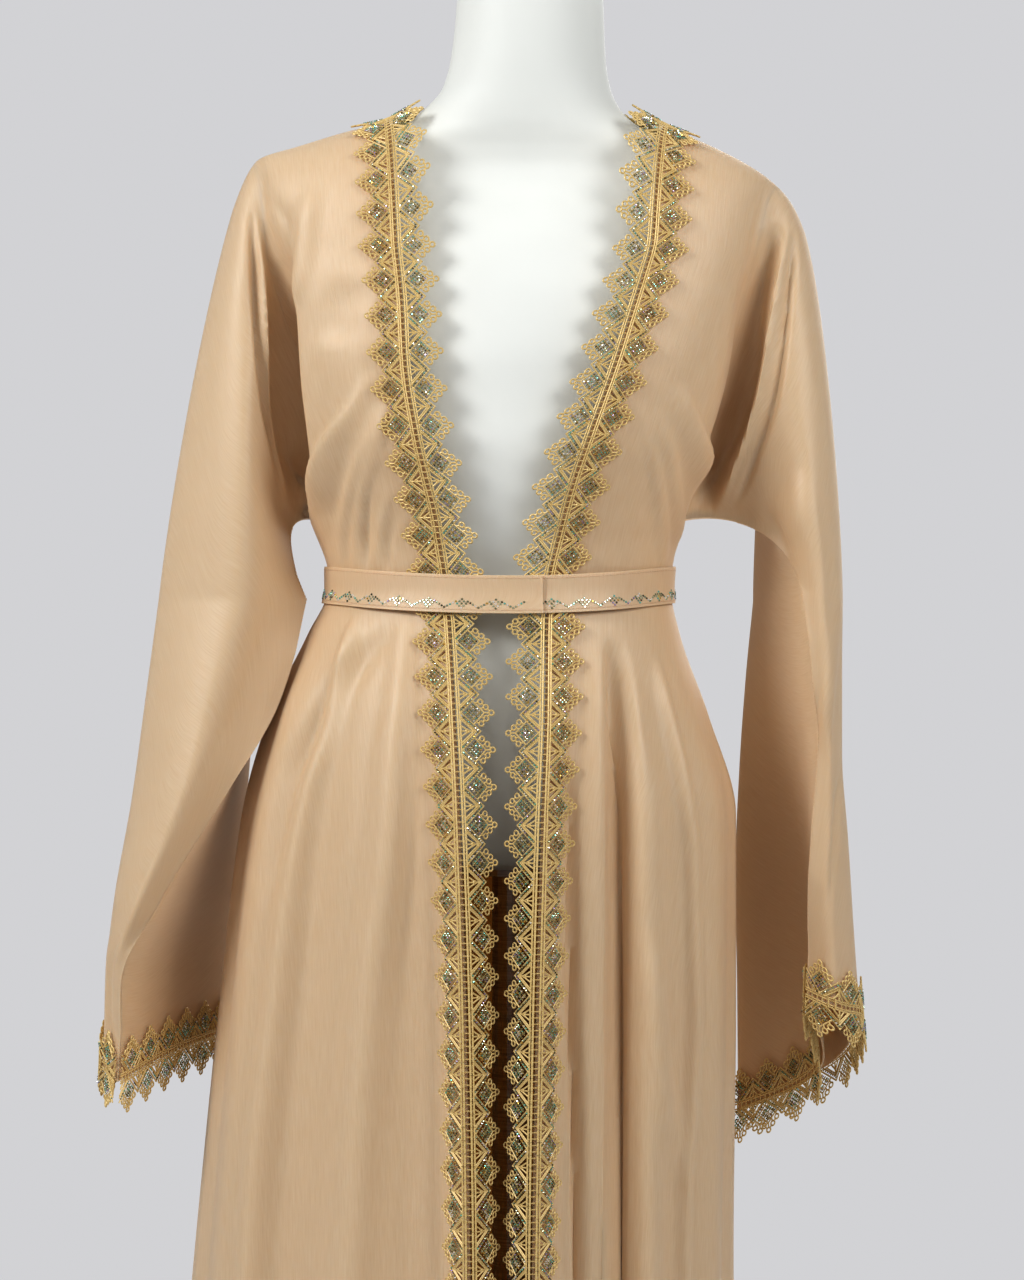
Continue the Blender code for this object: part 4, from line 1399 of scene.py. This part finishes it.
# %% [markdown]
# ### Foiled crystals
# The stones are pressed glass with a foil behind, so each mirrors the room in its own colour.
# Every stone carries a number from 0 to 1, and a ramp with hard steps turns that number into
# one of eight colours, so that neighbours flash differently. Six are foil colours; the
# near-white one is a painted glint and the dark olive one a painted dark reflection.

# %% Foiled crystals
def crystals():
    made, tree, shader = finish("foiled_crystal", Roughness=0.12, Metallic=0.6)
    tint = node(tree, "ShaderNodeAttribute", attribute_name="tint")
    # the near-white step is a painted glint and the dark olive step a painted dark reflection; the
    # other six are foil colours
    tone = ramp(
        tree, tint.outputs["Fac"],
        (0.00, colour("#6B6A58")), (0.12, colour("#929880")), (0.28, colour("#C0CBB4")),
        (0.44, colour("#9FB3A0")), (0.58, colour("#8FD6CC")), (0.72, colour("#FDFEFB")),
        (0.88, colour("#B9ACD0")), (0.95, colour("#DDBB68")),
    )
    tone.color_ramp.interpolation = "CONSTANT"
    tree.links.new(tone.outputs["Color"], shader.inputs["Base Color"])
    return made


crystal = crystals()
print(crystal.name, len(crystal.node_tree.nodes), "nodes")


# %% [markdown]
# ### White gelcoat
# The form leaves its mould with a matt white gelcoat. It has no grain: the eye gets one broad,
# dim highlight and a white with a very faint haze.

# %% White gelcoat
def gelcoat():
    made, tree, shader = finish("white_gelcoat", Roughness=0.62)
    place = node(tree, "ShaderNodeTexCoord")
    haze = node(
        tree, "ShaderNodeTexNoise", [("Vector", place.outputs["Object"])], Scale=9.0, Detail=2.0
    )
    tone = ramp(tree, haze.outputs["Fac"], (0.3, colour("#E3E5E0")), (0.7, colour("#E9EBE6")))
    tree.links.new(tone.outputs["Color"], shader.inputs["Base Color"])
    return made


white = gelcoat()
print(white.name, len(white.node_tree.nodes), "nodes")


# %% [markdown]
# ### Sewing thread
# Spun polyester, a shade paler than the cloth. It is dull, and its plies show as small light
# and dark spots about half a millimetre apart.

# %% Sewing thread
def sewing_thread():
    made, tree, shader = finish("polyester_sewing_thread", Roughness=0.5, Sheen_Weight=0.2)
    place = node(tree, "ShaderNodeTexCoord")
    ply = node(
        tree, "ShaderNodeTexNoise", [("Vector", place.outputs["Object"])], Scale=2200.0, Detail=1.0
    )
    tone = ramp(tree, ply.outputs["Fac"], (0.35, colour("#CFAE8B")), (0.65, colour("#E6CFB2")))
    tree.links.new(tone.outputs["Color"], shader.inputs["Base Color"])
    return made


seam_thread = sewing_thread()
print(seam_thread.name, len(seam_thread.node_tree.nodes), "nodes")


# %% [markdown]
# ### Brushed steel
# The stand's pole and base are brushed round and round, so the marks are fine level lines:
# noise about a millimetre high and stretched sideways.

# %% Brushed steel
def steel():
    made, tree, shader = finish("brushed_steel", Metallic=1.0, Roughness=0.34)
    place = node(tree, "ShaderNodeTexCoord")
    turned = node(
        tree, "ShaderNodeMapping", [("Vector", place.outputs["Object"])], Scale=(40, 40, 900)
    )
    brush = node(
        tree, "ShaderNodeTexNoise", [("Vector", turned.outputs["Vector"])], Scale=1.0, Detail=3.0
    )
    tone = ramp(tree, brush.outputs["Fac"], (0.3, colour("#9A9A9C")), (0.7, colour("#C2C2C4")))
    tree.links.new(tone.outputs["Color"], shader.inputs["Base Color"])
    return made


metal = steel()
print(metal.name, len(metal.node_tree.nodes), "nodes")


# %% [markdown]
# ### Finishes on the pieces
# Every piece gets the finish of its own material. The pole and base are the measured model's
# own pieces, so theirs is put on the object and not on its mesh.

# %% Finishes on the pieces
def paint(item, made):
    item.data.materials.clear()
    item.data.materials.append(made)


for item in cloth.values():
    paint(item, crepe_cloth)
for name in bands:
    paint(lace[name], thread)
    paint(stones[name], crystal)
paint(crystals_belt, crystal)
for item in stitching.values():
    paint(item, seam_thread)
paint(form, white)
for name in ("stand_pole", "stand_base"):
    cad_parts[name].material_slots[0].link = "OBJECT"
    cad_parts[name].material_slots[0].material = metal
print(len(bpy.data.materials), "materials in the file")


# %% [markdown]
# ## What each piece stands for
# The measured model has a plain solid for every panel and band; these solids and the form's
# are hidden, so each finished piece is seen in the place of its solid. For each sheet of cloth
# a table lists the size that it was cut to, how it is held, what it rests on and which trims
# hang on it.

# %% What each piece stands for
for name, item in cloth.items():
    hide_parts(name)
for name in bands:
    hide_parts("lace_" + name)
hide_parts("form")

SHEETS = {
    "front_right": ((0.52, 1.50), "hung", ["dress_form", "cloth_back"]),
    "front_left": ((0.46, 1.50), "hung", ["dress_form", "cloth_back"]),
    "back": ((0.95, 1.50), "hung", ["dress_form"]),
    "sleeve_right": ((0.46, 0.72), "hung", ["cloth_front_right", "cloth_back"]),
    "sleeve_left": ((0.46, 0.72), "hung", ["cloth_front_left", "cloth_back"]),
    "belt": ((0.029, 0.90), "stretched", ["cloth_front_right", "cloth_front_left", "cloth_back"]),
}
TRIMS = {
    "front_right": ["front_right"], "front_left": ["front_left"], "back": ["neck"],
    "sleeve_right": ["cuff_right"], "sleeve_left": ["cuff_left"], "belt": [],
}
for name, (flat, held, rests_on) in SHEETS.items():
    trims = [piece for band in TRIMS[name] for piece in (lace[band], stones[band])]
    if name == "belt":
        trims += [crystals_belt, stitching["belt"]]
    if name == "back":
        trims.append(stitching["hem"])
    if name == "sleeve_right":
        trims.append(stitching["sleeves"])
print(len(SHEETS), "sheets declared")


# %% [markdown]
# ## Floor and light
# A studio picture of this kind has one large soft light high on the left, a weaker one on the
# right and a pale background lit by itself. A third light behind keeps the back from looking
# flat, and the room's own dim light fills the shade.

# %% Floor and light
def lamp(name, place, aim, size, power, tone="#FFFFFF"):
    bpy.ops.object.light_add(type="AREA", location=place)
    made = bpy.context.object
    made.name = name
    made.data.shape = "RECTANGLE"
    made.data.size, made.data.size_y = size
    made.data.energy = power
    made.data.color = colour(tone)[:3]
    way = np.array(aim) - np.array(place)
    made.rotation_euler = (
        math.atan2(math.hypot(way[0], way[1]), -way[2]), 0, math.atan2(way[0], -way[1]) + math.pi
    )
    return made


bpy.ops.object.select_all(action="DESELECT")
bpy.ops.mesh.primitive_circle_add(vertices=96, radius=2.4, fill_type="NGON", location=(0, 0, 0))
floor = bpy.context.object
floor.name = "floor"
floor_finish, _, _ = finish("pale_floor", Base_Color=colour("#D8D8DA"), Roughness=0.7)
paint(floor, floor_finish)

lamp("key", (-2.05, -1.5, 2.65), (0, 0, 1.25), (1.1, 1.1), 43)
lamp("fill", (1.7, -1.6, 2.3), (0, 0, 1.1), (1.2, 1.2), 24)
lamp("behind", (0.9, 2.7, 2.0), (0, 0, 1.0), (1.6, 1.6), 20)

world = bpy.context.scene.world or bpy.data.worlds.new("studio")
bpy.context.scene.world = world
world.use_nodes = True
sky = world.node_tree
seen = node(sky, "ShaderNodeLightPath")
backdrop = node(sky, "ShaderNodeBackground", Color=colour("#B9B9BB"), Strength=1.0)
room = sky.nodes["Background"]
room.inputs["Color"].default_value = colour("#D2D2D6")
room.inputs["Strength"].default_value = 0.34
split = node(sky, "ShaderNodeMixShader", [("Fac", seen.outputs["Is Camera Ray"])])
sky.links.new(room.outputs["Background"], split.inputs[1])
sky.links.new(backdrop.outputs["Background"], split.inputs[2])
sky.links.new(split.outputs["Shader"], sky.nodes["World Output"].inputs["Surface"])
bpy.context.scene.view_settings.view_transform = "Standard"
bpy.context.scene.view_settings.look = "High Contrast"
